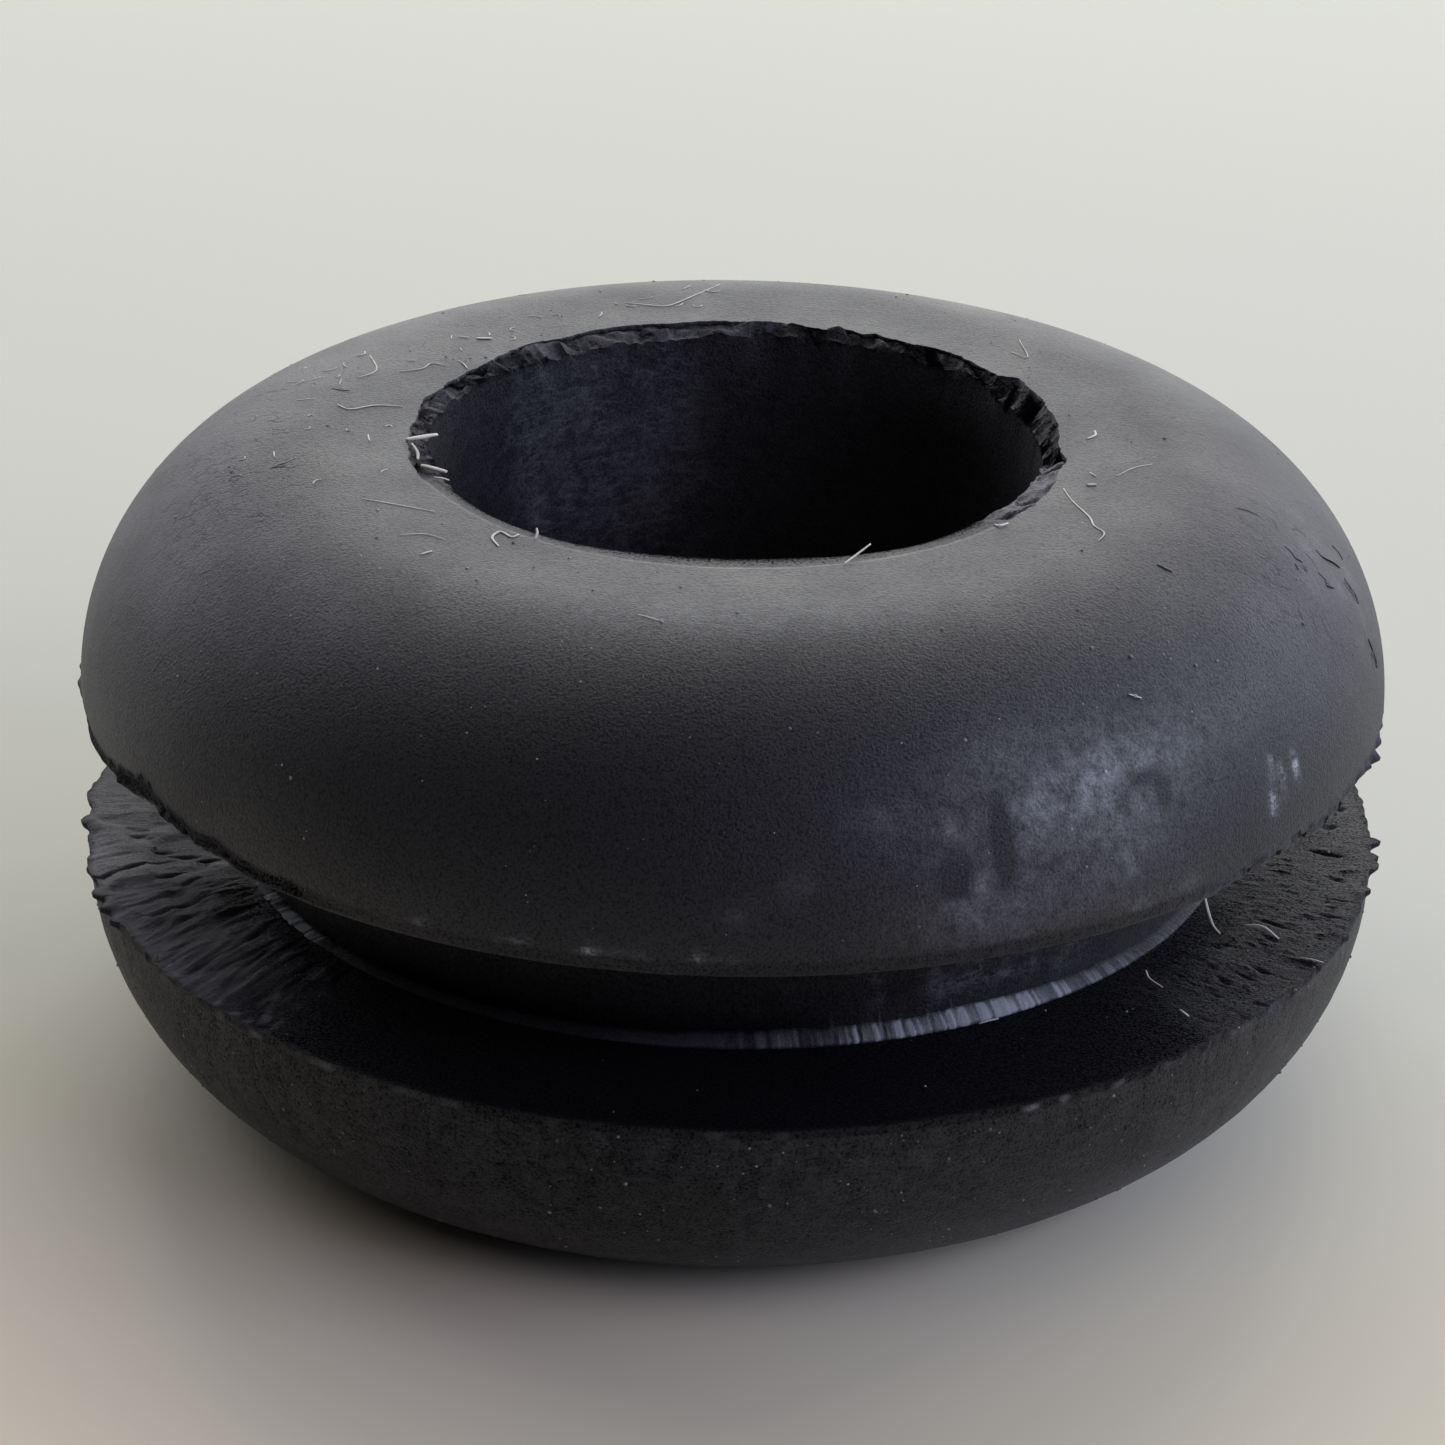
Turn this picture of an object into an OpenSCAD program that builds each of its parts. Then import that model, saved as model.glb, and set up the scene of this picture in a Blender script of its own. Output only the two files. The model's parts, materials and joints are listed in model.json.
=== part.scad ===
// Rubber grommet: two domed flanges joined by a neck, with a round bore right through.
// The panel's edge sits in the groove between the flanges. The bore runs along +Z, and the
// lower flange's flat outer face lies at z = 0. Sizes are in millimetres.

/* [Flanges] */
// Outside diameter of both flanges
flange_d = 25; // [22:0.5:32]
// Thickness of each flange, from its flat outer face to the groove
flange_t = 4.8; // [4.7:0.1:7]
// Radius that rounds each flange from its flat outer face down to its rim
corner_r = 4.6; // [1:0.1:4.7]

/* [Groove] */
// Width of the groove, which is the thickness of panel that it takes
groove_w = 3; // [1:0.1:6]
// Diameter of the neck at the bottom of the groove
neck_d = 18.9; // [14:0.1:21]
// How far the sloped land at each foot of the neck stands out from it
land_out = 0.25; // [0.05:0.05:0.5]
// Height of that land along the neck
land_h = 0.4; // [0.1:0.05:0.45]

/* [Bore] */
// Diameter of the bore's wall
bore_d = 11.5; // [6:0.1:13.4]
// Width of the sloped ledge round each mouth of the bore
mouth_w = 0.45; // [0.1:0.05:0.8]
// Depth of that ledge below the flange's flat face
mouth_depth = 0.3; // [0.05:0.05:0.6]

/* [Flash] */
// Farthest that the torn moulding flash stands out from a flange's rim
flash_out = 0.3; // [0.05:0.05:0.6]
// Thickness of the flash, which lies flush with the side of the groove
flash_t = 0.15; // [0.1:0.05:0.3]
// Number of points in the ragged outline of the flash
flash_points = 200; // [60:10:240]

/* [Tears] */
// Number of nicks torn in the upper mouth of the bore
nick_count = 22; // [0:1:30]
// Widest nick
nick_w = 0.4; // [0.1:0.05:0.6]
// Number of radial tear marks at each torn side of the groove's lower face
tear_count = 9; // [0:1:14]
// Longest tear mark
tear_length = 2; // [0.5:0.1:2.4]
// Width of a tear mark
tear_w = 0.12; // [0.05:0.01:0.2]
// Seed of the ragged outlines and of the places of nicks and tear marks
tear_seed = 7; // [1:1:40]

/* [Hidden] */
$fn = 144;

height = 2 * flange_t + groove_w;
rim_r = flange_d / 2;
neck_r = neck_d / 2;
bore_r = bore_d / 2;
mouth_r = bore_r + mouth_w;
rubber_black = [0.13, 0.13, 0.14];

// Depth that the neck and its lands run into a flange
lap = flange_t / 2;
// Length that a cutter runs past the face it cuts through
past = 1;
// Middle and half spread of the two torn sides, as angles round the part
torn_sides = [196, 342];
torn_spread = 24;
// The torn stretch of the upper mouth, as angles round the part: its front is whole
torn_mouth = [-30, 210];
// Power that keeps the flash short where it is whole, and few of its points far out
flash_skew = 1.8;

// Numbers between low and high that stay the same for one seed
function scatter(low, high, count, set) = rands(low, high, count, tear_seed + 100 * set);

// From 1 in the middle of a torn side down to 0 a quarter turn away from both
function torn_share(angle) = max([for (side = torn_sides) pow(max(cos(angle - side), 0), 3)]);

// Half section of one flange, outer face up, with the side of the groove along y = 0
module flange_section() {
    intersection() {
        square([rim_r, flange_t]);
        union() {
            square([rim_r - corner_r, flange_t]);
            square([rim_r, flange_t - corner_r]);
            translate([rim_r - corner_r, flange_t - corner_r])
                circle(r = corner_r);
        }
    }
}

// Half section of the land where the neck slopes out to the side of the groove
module land_section() {
    polygon([
        [0, -land_h],
        [neck_r, -land_h],
        [neck_r + land_out, 0],
        [neck_r + land_out, lap],
        [0, lap]
    ]);
}

// Thin ragged sheet of flash, its lower face on z = 0, that shows past the rim where it is torn
module flash(set) {
    reach = scatter(0, 1, flash_points, set);
    drift = scatter(0, 0.8, flash_points, set + 1);
    low = rim_r - flash_out / 4;
    linear_extrude(flash_t)
        polygon([
            for (i = [0:flash_points - 1])
                let (
                    a = (i + drift[i]) * 360 / flash_points,
                    r = low + (rim_r + flash_out - low) * pow(reach[i] * torn_share(a), flash_skew)
                )
                [r * cos(a), r * sin(a)]
        ]);
}

// One flange, outer face up, with its land and flash, still without the bore
module flange(set) {
    rotate_extrude() {
        flange_section();
        land_section();
    }
    flash(set);
}

// The column between the flanges, which runs a little way into both
module neck() {
    translate([0, 0, flange_t - lap])
        cylinder(h = groove_w + 2 * lap, r = neck_r);
}

// Cutter for the bore, from below the part to above it
module bore() {
    translate([0, 0, -past])
        cylinder(h = height + 2 * past, r = bore_r);
}

// Cutter for the ledge of one mouth, which opens out to the face at z = 0
module mouth() {
    slope = mouth_w / mouth_depth;
    translate([0, 0, -mouth_depth])
        cylinder(h = mouth_depth + past, r1 = bore_r, r2 = mouth_r + past * slope);
}

// V-shaped cutters that tear the edge of the upper mouth, with the face at z = 0
module nicks() {
    angles = scatter(torn_mouth[0], torn_mouth[1], max(nick_count, 1), 5);
    sizes = scatter(nick_w / 3, nick_w, max(nick_count, 1), 6);
    for (i = [0:1:nick_count - 1])
        rotate(angles[i])
            translate([mouth_r, 0, 0])
                rotate([45, 0, 0])
                    cube([2 * sizes[i], sizes[i] * sqrt(0.5), sizes[i] * sqrt(0.5)], center = true);
}

// V-shaped cutters along radii at the torn sides of the groove's lower face, at z = 0
module tear_marks() {
    for (side = [0, 1]) {
        turns = scatter(-torn_spread, torn_spread, max(tear_count, 1), 7 + side);
        lengths = scatter(tear_length / 3, tear_length, max(tear_count, 1), 9 + side);
        for (i = [0:1:tear_count - 1])
            rotate(torn_sides[side] + turns[i])
                translate([rim_r + flash_out - lengths[i], 0, 0])
                    rotate([45, 0, 0])
                        translate([0, -tear_w / 2, -tear_w / 2])
                            cube([lengths[i] + past, tear_w, tear_w]);
    }
}

module grommet() {
    color(rubber_black)
        difference() {
            union() {
                neck();
                translate([0, 0, flange_t + groove_w])
                    flange(1);
                translate([0, 0, flange_t])
                    mirror([0, 0, 1])
                        flange(3);
            }
            bore();
            translate([0, 0, height]) {
                mouth();
                nicks();
            }
            mirror([0, 0, 1])
                mouth();
            translate([0, 0, flange_t])
                tear_marks();
        }
}

grommet();
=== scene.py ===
# A black rubber grommet, torn along its mould lines, standing on a pale floor.
# Sizes are millimetres and angles degrees until they reach a mesh. Angles run round the
# bore from +X: 0 is the right side, 90 the back, 180 the left and 270 the front.
import json
import math

import bpy
import numpy as np
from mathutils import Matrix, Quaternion, Vector


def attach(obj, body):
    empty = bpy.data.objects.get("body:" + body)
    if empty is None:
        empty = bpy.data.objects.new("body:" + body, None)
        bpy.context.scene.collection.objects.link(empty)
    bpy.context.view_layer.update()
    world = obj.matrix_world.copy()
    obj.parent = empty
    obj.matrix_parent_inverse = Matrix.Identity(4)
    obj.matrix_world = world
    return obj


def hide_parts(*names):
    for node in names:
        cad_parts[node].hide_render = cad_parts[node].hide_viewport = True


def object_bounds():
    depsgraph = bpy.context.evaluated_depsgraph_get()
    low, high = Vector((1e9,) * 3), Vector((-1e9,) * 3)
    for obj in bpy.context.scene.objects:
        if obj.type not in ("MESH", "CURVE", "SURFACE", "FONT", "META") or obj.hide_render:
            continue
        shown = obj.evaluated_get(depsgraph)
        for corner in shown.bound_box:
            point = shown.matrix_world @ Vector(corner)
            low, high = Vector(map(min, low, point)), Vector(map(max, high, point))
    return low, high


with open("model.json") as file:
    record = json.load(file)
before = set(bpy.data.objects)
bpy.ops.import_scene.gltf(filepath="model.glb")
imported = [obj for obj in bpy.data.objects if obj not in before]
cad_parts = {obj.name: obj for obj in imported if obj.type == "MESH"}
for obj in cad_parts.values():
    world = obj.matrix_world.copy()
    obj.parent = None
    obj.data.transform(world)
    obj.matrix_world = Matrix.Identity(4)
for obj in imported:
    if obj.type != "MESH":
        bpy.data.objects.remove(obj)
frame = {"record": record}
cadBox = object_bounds()
mm = 0.001
print("frame loaded")


def easeStep(x):
    x = np.clip(x, 0, 1)
    return x * x * (3 - 2 * x)


def bulge(across, power=1.0):
    # 1 in the middle of a strip and 0 at its ends
    return math.sin(math.pi * across) ** power if 0 < across < 1 else 0


def turnGap(turn, centre):
    return (turn - centre + 180) % 360 - 180  # signed, -180 to 180


def sector(turn, start, end, soft=6):
    # 1 from start round to end, easing to 0 over soft degrees outside
    half = (end - start) % 360 / 2
    return 1 - easeStep((np.abs(turnGap(turn, start + half)) - half) / soft)


def stretches(turn, rows, even=0.0):
    # an even value and stretches of (start, end, easing, strength), added up
    return even + sum(strength * sector(turn, start, end, soft) for start, end, soft, strength in rows)


def along(turn, marks):
    # a value that runs through marks of (angle, value) round the circle
    angles, values = zip(*sorted(marks))
    return np.interp(turn, angles, values, period=360)


def teeth(turn, marks):
    # pointed bumps from marks of (angle, reach, half width)
    out = np.zeros_like(turn)
    for angle, reach, half in marks:
        out += reach * np.clip(1 - np.abs(turnGap(turn, angle)) / half, 0, 1) ** 0.6
    return out


def ringNoise(turn, count, seed):
    # smooth noise round the circle, -1 to 1, with count bumps
    values = np.random.RandomState(seed).uniform(-1, 1, count)
    place = turn / 360 * count
    low = np.floor(place).astype(int)
    blend = easeStep(place - low)
    return values[low % count] * (1 - blend) + values[(low + 1) % count] * blend


def jagged(turn, seed, counts=(90, 230, 560), shares=(0.5, 0.3, 0.2)):
    # uneven noise of large and small bumps round the circle
    return sum(share * ringNoise(turn, count, seed + 17 * k)
               for k, (count, share) in enumerate(zip(counts, shares)))


def sheetNoise(turn, across, turnCount, acrossCount, seed):
    # smooth noise that changes across a strip as well; across runs 0 to 1
    place = np.clip(across, 0, 0.9999) * acrossCount
    low = int(place)
    blend = easeStep(place - low)
    here = ringNoise(turn, turnCount, seed + low)
    return here * (1 - blend) + ringNoise(turn, turnCount, seed + low + 1) * blend


def layered(turn, across, layers):
    # sheet noises added up; a layer is share, lean, bumps round, bumps across and seed
    return sum(share * sheetNoise(turn + lean * across, across, *rest) for share, lean, *rest in layers)


# The turned section of the whole part
boreMount = next(m for m in frame["record"]["mounts"] if m["name"] == "cable_bore")
section = dict(
    height=(cadBox[1].z - cadBox[0].z) / mm,
    boreRadius=boreMount["dims"]["r_mm"],
    rimRadius=round(cadBox[1].y / mm, 2),
    cornerRadius=4.6,
    grooveWidth=3.0,
    neckRadius=9.45,
    landOut=0.25,  # how far the band at the neck's foot stands out
    landTop=0.4,  # height of the same band under the upper flange
    mouthWidth=0.45,
    mouthDepth=0.3,
    unevenness=(0.004, 0.006),  # of the lower flange's side, and more below the tears
    sideBumps=(240, 18, 205),  # bumps round, bumps up and seed
)
top = section["height"]
grooveLow = (top - section["grooveWidth"]) / 2
grooveHigh = top - grooveLow
rim = section["rimRadius"]
corner = section["cornerRadius"]
flatRadius = rim - corner
boreRadius = section["boreRadius"]
landRadius = section["neckRadius"] + section["landOut"]

tears = dict(
    left=(178, 224),  # torn stretches of the groove's rims and lower face
    right=(314, 368),
    combed=(204, 226),  # where the face is combed into fine slanting ridges
    combSweep=2.1,  # degrees that the ridges slant in a millimetre
    ridge=0.05,
    # noises, as layered takes them
    ridges=[(0.3, 0, 235, 3, 30), (0.4, 0, 430, 5, 40), (0.4, 0, 820, 8, 44)],
    faint=0.018,  # relief beside the combing, calmer on the right
    faintBumps=[(0.4, 0, 190, 9, 50), (0.6, 1.5, 640, 20, 70)],
    calm=0.45,
    flakes=(186, 206),  # where thin flakes lift
    flake=0.03,
    plates=[(1, 0, 110, 6, 90)],
    swell=[(0.02, 0, 44, 2, 60)],
    edgeDrop=0.012,  # how far the face's edge lies back and down behind the flash
    # cuts in the lower face: angle and radius of both ends, half width, depth (below 0 stands up)
    strokes=[
        (224.2, 12.5, 219.6, 10.9, 0.022, -0.035), (216, 12.2, 212.8, 10.9, 0.022, -0.035),
        (211.8, 12.6, 207.2, 10.8, 0.025, -0.035), (209.4, 12.3, 206.6, 11.3, 0.025, -0.035),
        (205.2, 11.6, 202.9, 10.6, 0.03, -0.03), (203.2, 12.1, 201.9, 11.4, 0.03, -0.03),
        (226.3, 12.5, 223, 11.2, 0.022, 0.035), (219.2, 12.3, 215.8, 11, 0.022, 0.035),
        (196.9, 12.62, 195.9, 12, 0.045, 0.1), (195.9, 12, 195, 11.5, 0.04, 0.09),
        (195, 11.4, 194.9, 11, 0.03, 0.03), (189.2, 11.68, 188.9, 11.4, 0.05, 0.06),
        (189.5, 11.42, 190.1, 11.24, 0.045, 0.05), (192.7, 11.28, 193.1, 11, 0.06, 0.08),
        (194, 10.95, 194.6, 10.55, 0.055, 0.09), (195.6, 10.5, 196, 10.15, 0.05, 0.07),
        (198, 11.35, 197.5, 10.88, 0.055, 0.09), (200.3, 11, 199.7, 10.65, 0.045, 0.07),
        (205.9, 11.85, 204.9, 11.45, 0.05, 0.1), (204.9, 11.45, 204.6, 11.15, 0.045, 0.08),
        (205.9, 11.85, 205.3, 12.05, 0.04, 0.06), (205.2, 12.2, 204.9, 12.08, 0.06, 0.07),
        (204.8, 12.66, 204.8, 12.55, 0.05, 0.07), (206.3, 12.66, 206.2, 12.57, 0.05, 0.06),
        (193.5, 12.4, 192.6, 11.7, 0.05, 0.03), (201.5, 12.3, 200.2, 11.3, 0.06, 0.03),
        (191.2, 12.4, 190.4, 11.9, 0.05, 0.025), (187.2, 11.9, 187.8, 11.4, 0.08, 0.03),
        (207.8, 11.6, 206.2, 10.9, 0.03, 0.06), (212.6, 12.2, 210.9, 11.4, 0.025, 0.05),
        (216.9, 12.3, 214.8, 11.3, 0.03, 0.06), (214.5, 11, 212.8, 10.2, 0.03, 0.05),
        (221, 12.4, 215.2, 10.1, 0.02, -0.035), (218.9, 12.6, 217.6, 12.1, 0.03, -0.04),
        (213.6, 12.5, 212.5, 12, 0.03, -0.035), (210.6, 12.4, 208.4, 11.4, 0.025, -0.03),
        (208.2, 11, 206.6, 10.2, 0.025, -0.035), (201.6, 11.5, 201, 11.1, 0.03, -0.04),
        (352.2, 11.35, 351.4, 11.95, 0.06, 0.08), (346.9, 11.8, 346.1, 12.06, 0.04, 0.06),
        (339, 11.9, 339.3, 12.3, 0.035, 0.04), (347.1, 10.75, 346.8, 11.02, 0.03, -0.04),
        (348.2, 11.95, 349, 12.32, 0.03, -0.04), (335.4, 12.1, 336.8, 12.44, 0.03, -0.04),
        (330.2, 11.9, 330.8, 12.6, 0.03, -0.035), (329.6, 12.1, 330.1, 12.5, 0.03, 0.03),
        (357, 11.65, 357.6, 11.8, 0.07, 0.08), (1, 11.95, 1.6, 12.1, 0.07, 0.08),
        (323.3, 11.2, 322.4, 11.5, 0.05, 0.05), (324.9, 11.4, 324.6, 11.8, 0.04, 0.04),
        (322, 11.7, 325.1, 11.95, 0.035, -0.035), (321, 12.2, 321.6, 12.45, 0.04, 0.05),
        (333, 11.2, 332.2, 11.5, 0.04, 0.04), (327, 11.5, 326.4, 11.9, 0.04, 0.04),
        (336, 10.9, 335.2, 11.5, 0.04, 0.04), (318.6, 12.3, 318.2, 12.6, 0.05, 0.04),
        (342.4, 11.9, 342.6, 12.3, 0.03, 0.04), (326.8, 12.3, 327.6, 12.6, 0.03, -0.03),
    ],
    strokeReach=9,  # degrees that the longest one spans at most
    strayStrokes=170,
    strayTurns=(314, 362),
    strayPlaces=(10, 12.4),
    strayDepths=[0.03, 0.02, -0.025, -0.02],
    seed=21,
)
lowerRim = dict(
    # pointed bits of flash: (angle, reach, half width)
    teeth=[
        (355.1, 0.21, 0.6), (352.2, 0.15, 0.6), (350.6, 0.19, 1.1), (345.6, 0.1, 0.5), (342, 0.05, 0.8),
        (336.6, 0.09, 0.7), (330.5, 0.06, 0.4), (313, 0.05, 0.6), (309.8, 0.06, 0.9), (306.8, 0.05, 0.7),
        (303, 0.07, 1), (299.5, 0.05, 0.8), (295, 0.05, 1.2), (180, 0.16, 2.2), (185.3, 0.15, 1),
        (188.6, 0.05, 0.5), (194.4, 0.12, 2.4), (199.5, 0.2, 1), (202.2, 0.18, 0.8), (204.7, 0.13, 0.7),
        (3, 0.04, 0.8),
    ],
    seed=71,
    wave=0.03,  # rise and fall of the torn edge
    waveSeed=77,
    lumps=[(0.02, 0, 420, 3, 75)],
)
upperRim = dict(
    teeth=[
        (342.1, 0.15, 0.6), (339.9, 0.08, 0.4), (345.4, 0.07, 0.7), (355.2, 0.04, 0.9),
        (184.2, 0.05, 0.7), (187.4, 0.05, 0.9), (207.5, 0.06, 0.5),
    ],
    seed=91,
    # (angle, height) of the broken underside
    broken=[
        (176, 0), (184, 0.08), (192, 0.1), (199, 0.02), (203.5, 0.04), (206.5, 0.18), (210, 0.28),
        (214, 0.34), (221, 0.26), (228, 0.14), (236, 0.02), (310, 0.02), (318, 0.12), (332, 0.12),
        (350, 0.14), (372, 0),
    ],
    brokenBumps=(95, (80, 190, 460)),
    # notches in the lower edge: (angle, depth, half width)
    nicks=[
        (317, 0.22, 0.6), (321.1, 0.26, 0.7), (325.2, 0.26, 0.7), (329.3, 0.22, 0.5), (332.4, 0.24, 0.5),
        (211, 0.08, 0.6), (206.8, 0.1, 0.5), (216.5, 0.07, 0.7),
    ],
    hang=0.08,  # how far the torn edge wanders up and down
    hangSeed=97,
    lean=0.5,  # how far the break leans in for its height
    lumps=[(0.1, 0, 240, 3, 195), (0.05, 0, 560, 4, 395)],
)
flash = dict(
    reach=0.004,  # how far it stands out everywhere
    noise=0.035,
    plainNoise=0.032,  # the same for the stretches that aren't torn
    plainBumps=(50, 130, 290),
    patches=75,
)


def tornSides(turn, soft=7):
    return np.maximum(sector(turn, *tears["left"], soft), sector(turn, *tears["right"], soft))


def rimReach(turn, edge):
    # how far the flash stands out from a rim
    seed = edge["seed"]
    patchy = easeStep(0.75 + 0.9 * ringNoise(turn, flash["patches"], seed + 5))
    torn = tornSides(turn) * flash["noise"] * patchy * (0.3 + 1.6 * jagged(turn, seed))
    plain = flash["plainNoise"] * jagged(turn, seed + 2, flash["plainBumps"])
    return flash["reach"] + plain + torn + teeth(turn, edge["teeth"])


def slant(turn, radius):
    # turns an angle back along the combed ridges
    return turn - tears["combSweep"] * sector(turn, *tears["combed"], 6) * (radius - rim)


def strayStrokes():
    # short random cuts and ridges over the right face
    pick = np.random.RandomState(tears["seed"])
    first, last = tears["strayTurns"]
    made = []
    for _ in range(tears["strayStrokes"]):
        turn = first + (last - first) * pick.beta(1.2, 1.6)
        radius = pick.uniform(*tears["strayPlaces"])
        length = 0.04 + 0.2 * pick.uniform() ** 2
        deep = pick.choice(tears["strayDepths"]) * (1.4 - pick.uniform())
        aside, wide = pick.uniform(-1.6, 1.4), pick.uniform(0.02, 0.04)
        made.append((turn, radius, turn + aside, radius + length, wide, deep))
    return made


def flatSpot(turn, radius):
    return radius * np.cos(np.radians(turn)), radius * np.sin(np.radians(turn))


def strokeDepth(turn, radius, strokes):
    # how deep the cuts lie at each point
    x, y = flatSpot(turn, radius)
    total = np.zeros_like(turn)
    for turnA, radiusA, turnB, radiusB, wide, deep in strokes:
        near = np.abs(turnGap(turn, turnA)) < tears["strokeReach"]
        (startX, startY), (endX, endY) = flatSpot(turnA, radiusA), flatSpot(turnB, radiusB)
        runX, runY = endX - startX, endY - startY
        fromX, fromY = x[near] - startX, y[near] - startY
        part = np.clip((fromX * runX + fromY * runY) / (runX ** 2 + runY ** 2), 0, 1)
        gap = np.hypot(fromX - part * runX, fromY - part * runY)
        taper = 0.45 + 0.55 * np.sin(math.pi * part)
        total[near] += deep * taper * np.exp(-(gap / (wide * taper)) ** 2)
    return total


allStrokes = tears["strokes"] + strayStrokes()


def tornFace(turn, radius, across):
    # height added to the groove's lower face
    combed = sector(turn, *tears["combed"], 5)
    ridges = tears["ridge"] * layered(slant(turn, radius), across, tears["ridges"])
    calm = 1 - tears["calm"] * sector(turn, *tears["right"], 5)
    faint = tears["faint"] * calm * layered(turn, across, tears["faintBumps"])
    plates = layered(turn + 1.2 * ringNoise(turn, 60, 49), across, tears["plates"])
    flakes = tears["flake"] * sector(turn, *tears["flakes"], 3) * np.clip(4 * plates, -1, 1)
    rise = ridges * combed + faint * (1 - combed) + flakes + layered(turn, across, tears["swell"])
    return tornSides(turn) * rise - strokeDepth(turn, radius, allStrokes)


mouth = dict(
    # (angle, radius) of the worn edge, nicks included
    edge=[
        (0, 6.12), (14, 6.2), (27, 6.34), (31, 6.42), (34, 6.16), (45, 6.22), (53, 6.27), (55, 6.16),
        (61, 6.15), (64, 6.27), (66, 6.12), (69, 6.22), (71, 6.29), (73, 6.1), (82, 6.22), (93, 6.27),
        (104, 6.15), (112, 6.27), (125, 6.19), (130, 6.3), (143, 6.17), (153, 6.11), (159, 6.16),
        (165, 6.25), (170, 6.2), (180, 6.16), (199, 6.29), (213, 6.27), (228, 6.33), (250, 6.38),
        (270, 6.37), (307, 6.4), (318, 6.36), (321, 6.31), (328, 6.33), (346, 6.23), (352, 6.24),
        (355, 6.12),
    ],
    # (angle, depth) of the ledge's inner edge
    depth=[
        (0, 0.4), (14, 0.34), (30, 0.36), (34, 0.2), (60, 0.22), (66, 0.26), (72, 0.2), (88, 0.18),
        (92, 0.13), (104, 0.12), (111, 0.16), (118, 0.13), (126, 0.2), (132, 0.25), (135, 0.16),
        (150, 0.11), (163, 0.14), (172, 0.1), (184, 0.2), (198, 0.2), (204, 0.2), (222, 0.24), (238, 0.2),
        (252, 0.09), (262, 0.06), (280, 0.06), (294, 0.14), (304, 0.2), (318, 0.12), (333, 0.08),
        (345, 0.1), (351, 0.14), (354, 0.4),
    ],
    # (angle, how far the ledge's inner edge stays back from the bore)
    shelf=[
        (0, 0.08), (30, 0.1), (36, 0.24), (60, 0.25), (84, 0.24), (90, 0.08), (100, 0), (126, 0.06),
        (132, 0.1), (136, 0.02), (150, 0.04), (160, 0.11), (184, 0.11), (190, 0.02), (205, 0), (316, 0),
        (322, 0.02), (348, 0.05), (351, 0.02), (356, 0.06),
    ],
    whole=(208, 317),  # the front, which isn't torn
    bite=(353, 392),  # the dark torn stretch on the right
    drop=0.045,  # small step below the torn edge
    ragged=0.075,
    raggedBumps=(62, (74, 190, 520)),
    shelfRough=0.08,
    shelfBumps=(66, (60, 150, 400)),
    scallops=(64, (48, 110, 260)),
    lumps=[(0.15, 0, 130, 3, 171), (0.075, 0, 330, 5, 179)],  # in the bite
    facets=[(0.14, 4, 84, 2, 300)],
    facetsBack=0.07,  # how far the rest sinks back
    ribs=0.03,
    ribBumps=(67, (170, 340, 700)),
)


def mouthTorn(turn):
    return 1 - 0.95 * sector(turn, *mouth["whole"], 8)


def mouthEdge(turn):
    ragged = mouthTorn(turn) * mouth["ragged"] * jagged(turn, *mouth["raggedBumps"])
    return along(turn, mouth["edge"]) + ragged


def ledgeInner(turn):
    rough = mouth["shelfRough"] * mouthTorn(turn) * jagged(turn, *mouth["shelfBumps"])
    return boreRadius + np.maximum(along(turn, mouth["shelf"]) + rough, 0)


def ledgeDepth(turn):
    scallops = np.abs(jagged(turn, *mouth["scallops"]))
    return along(turn, mouth["depth"]) * (1 + mouthTorn(turn) * (1.3 * scallops - 0.25))


# Each strip gives radius and height for angles round the part and a place across, 0 to 1

def bottomLedge(turn, across):
    return boreRadius + section["mouthWidth"] * across, section["mouthDepth"] * (1 - across)


def bottomFlat(turn, across):
    start = boreRadius + section["mouthWidth"]
    return start + (flatRadius - start) * across, 0


def lowerDome(turn, across):
    angle = math.pi / 2 * (across - 1)
    plain, torn = section["unevenness"]
    rough = (plain + torn * tornSides(turn, 20)) * across * sheetNoise(turn, across, *section["sideBumps"])
    return flatRadius + corner * math.cos(angle) + rough, corner + corner * math.sin(angle)


def lowerWave(turn):
    return lowerRim["wave"] * tornSides(turn) * jagged(turn, lowerRim["waveSeed"])


def lowerFlash(turn, across):
    out = easeStep(across / 0.6)
    lumps = tornSides(turn) * layered(turn, across, lowerRim["lumps"])
    height = corner + (grooveLow - corner) * across + out * lowerWave(turn)
    return rim + (rimReach(turn, lowerRim) + lumps) * out, height


def lowerFace(turn, across):
    outer = rim + rimReach(turn, lowerRim) - tears["edgeDrop"]
    radius = outer + (landRadius - outer) * across
    edge = 1 - easeStep(across * 14)
    lift = edge * (lowerWave(turn) - tears["edgeDrop"])
    foot = easeStep((1 - across) * 8)
    return radius, grooveLow + lift + tornFace(turn, radius, across) * foot * (1 - 0.6 * edge)


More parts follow.
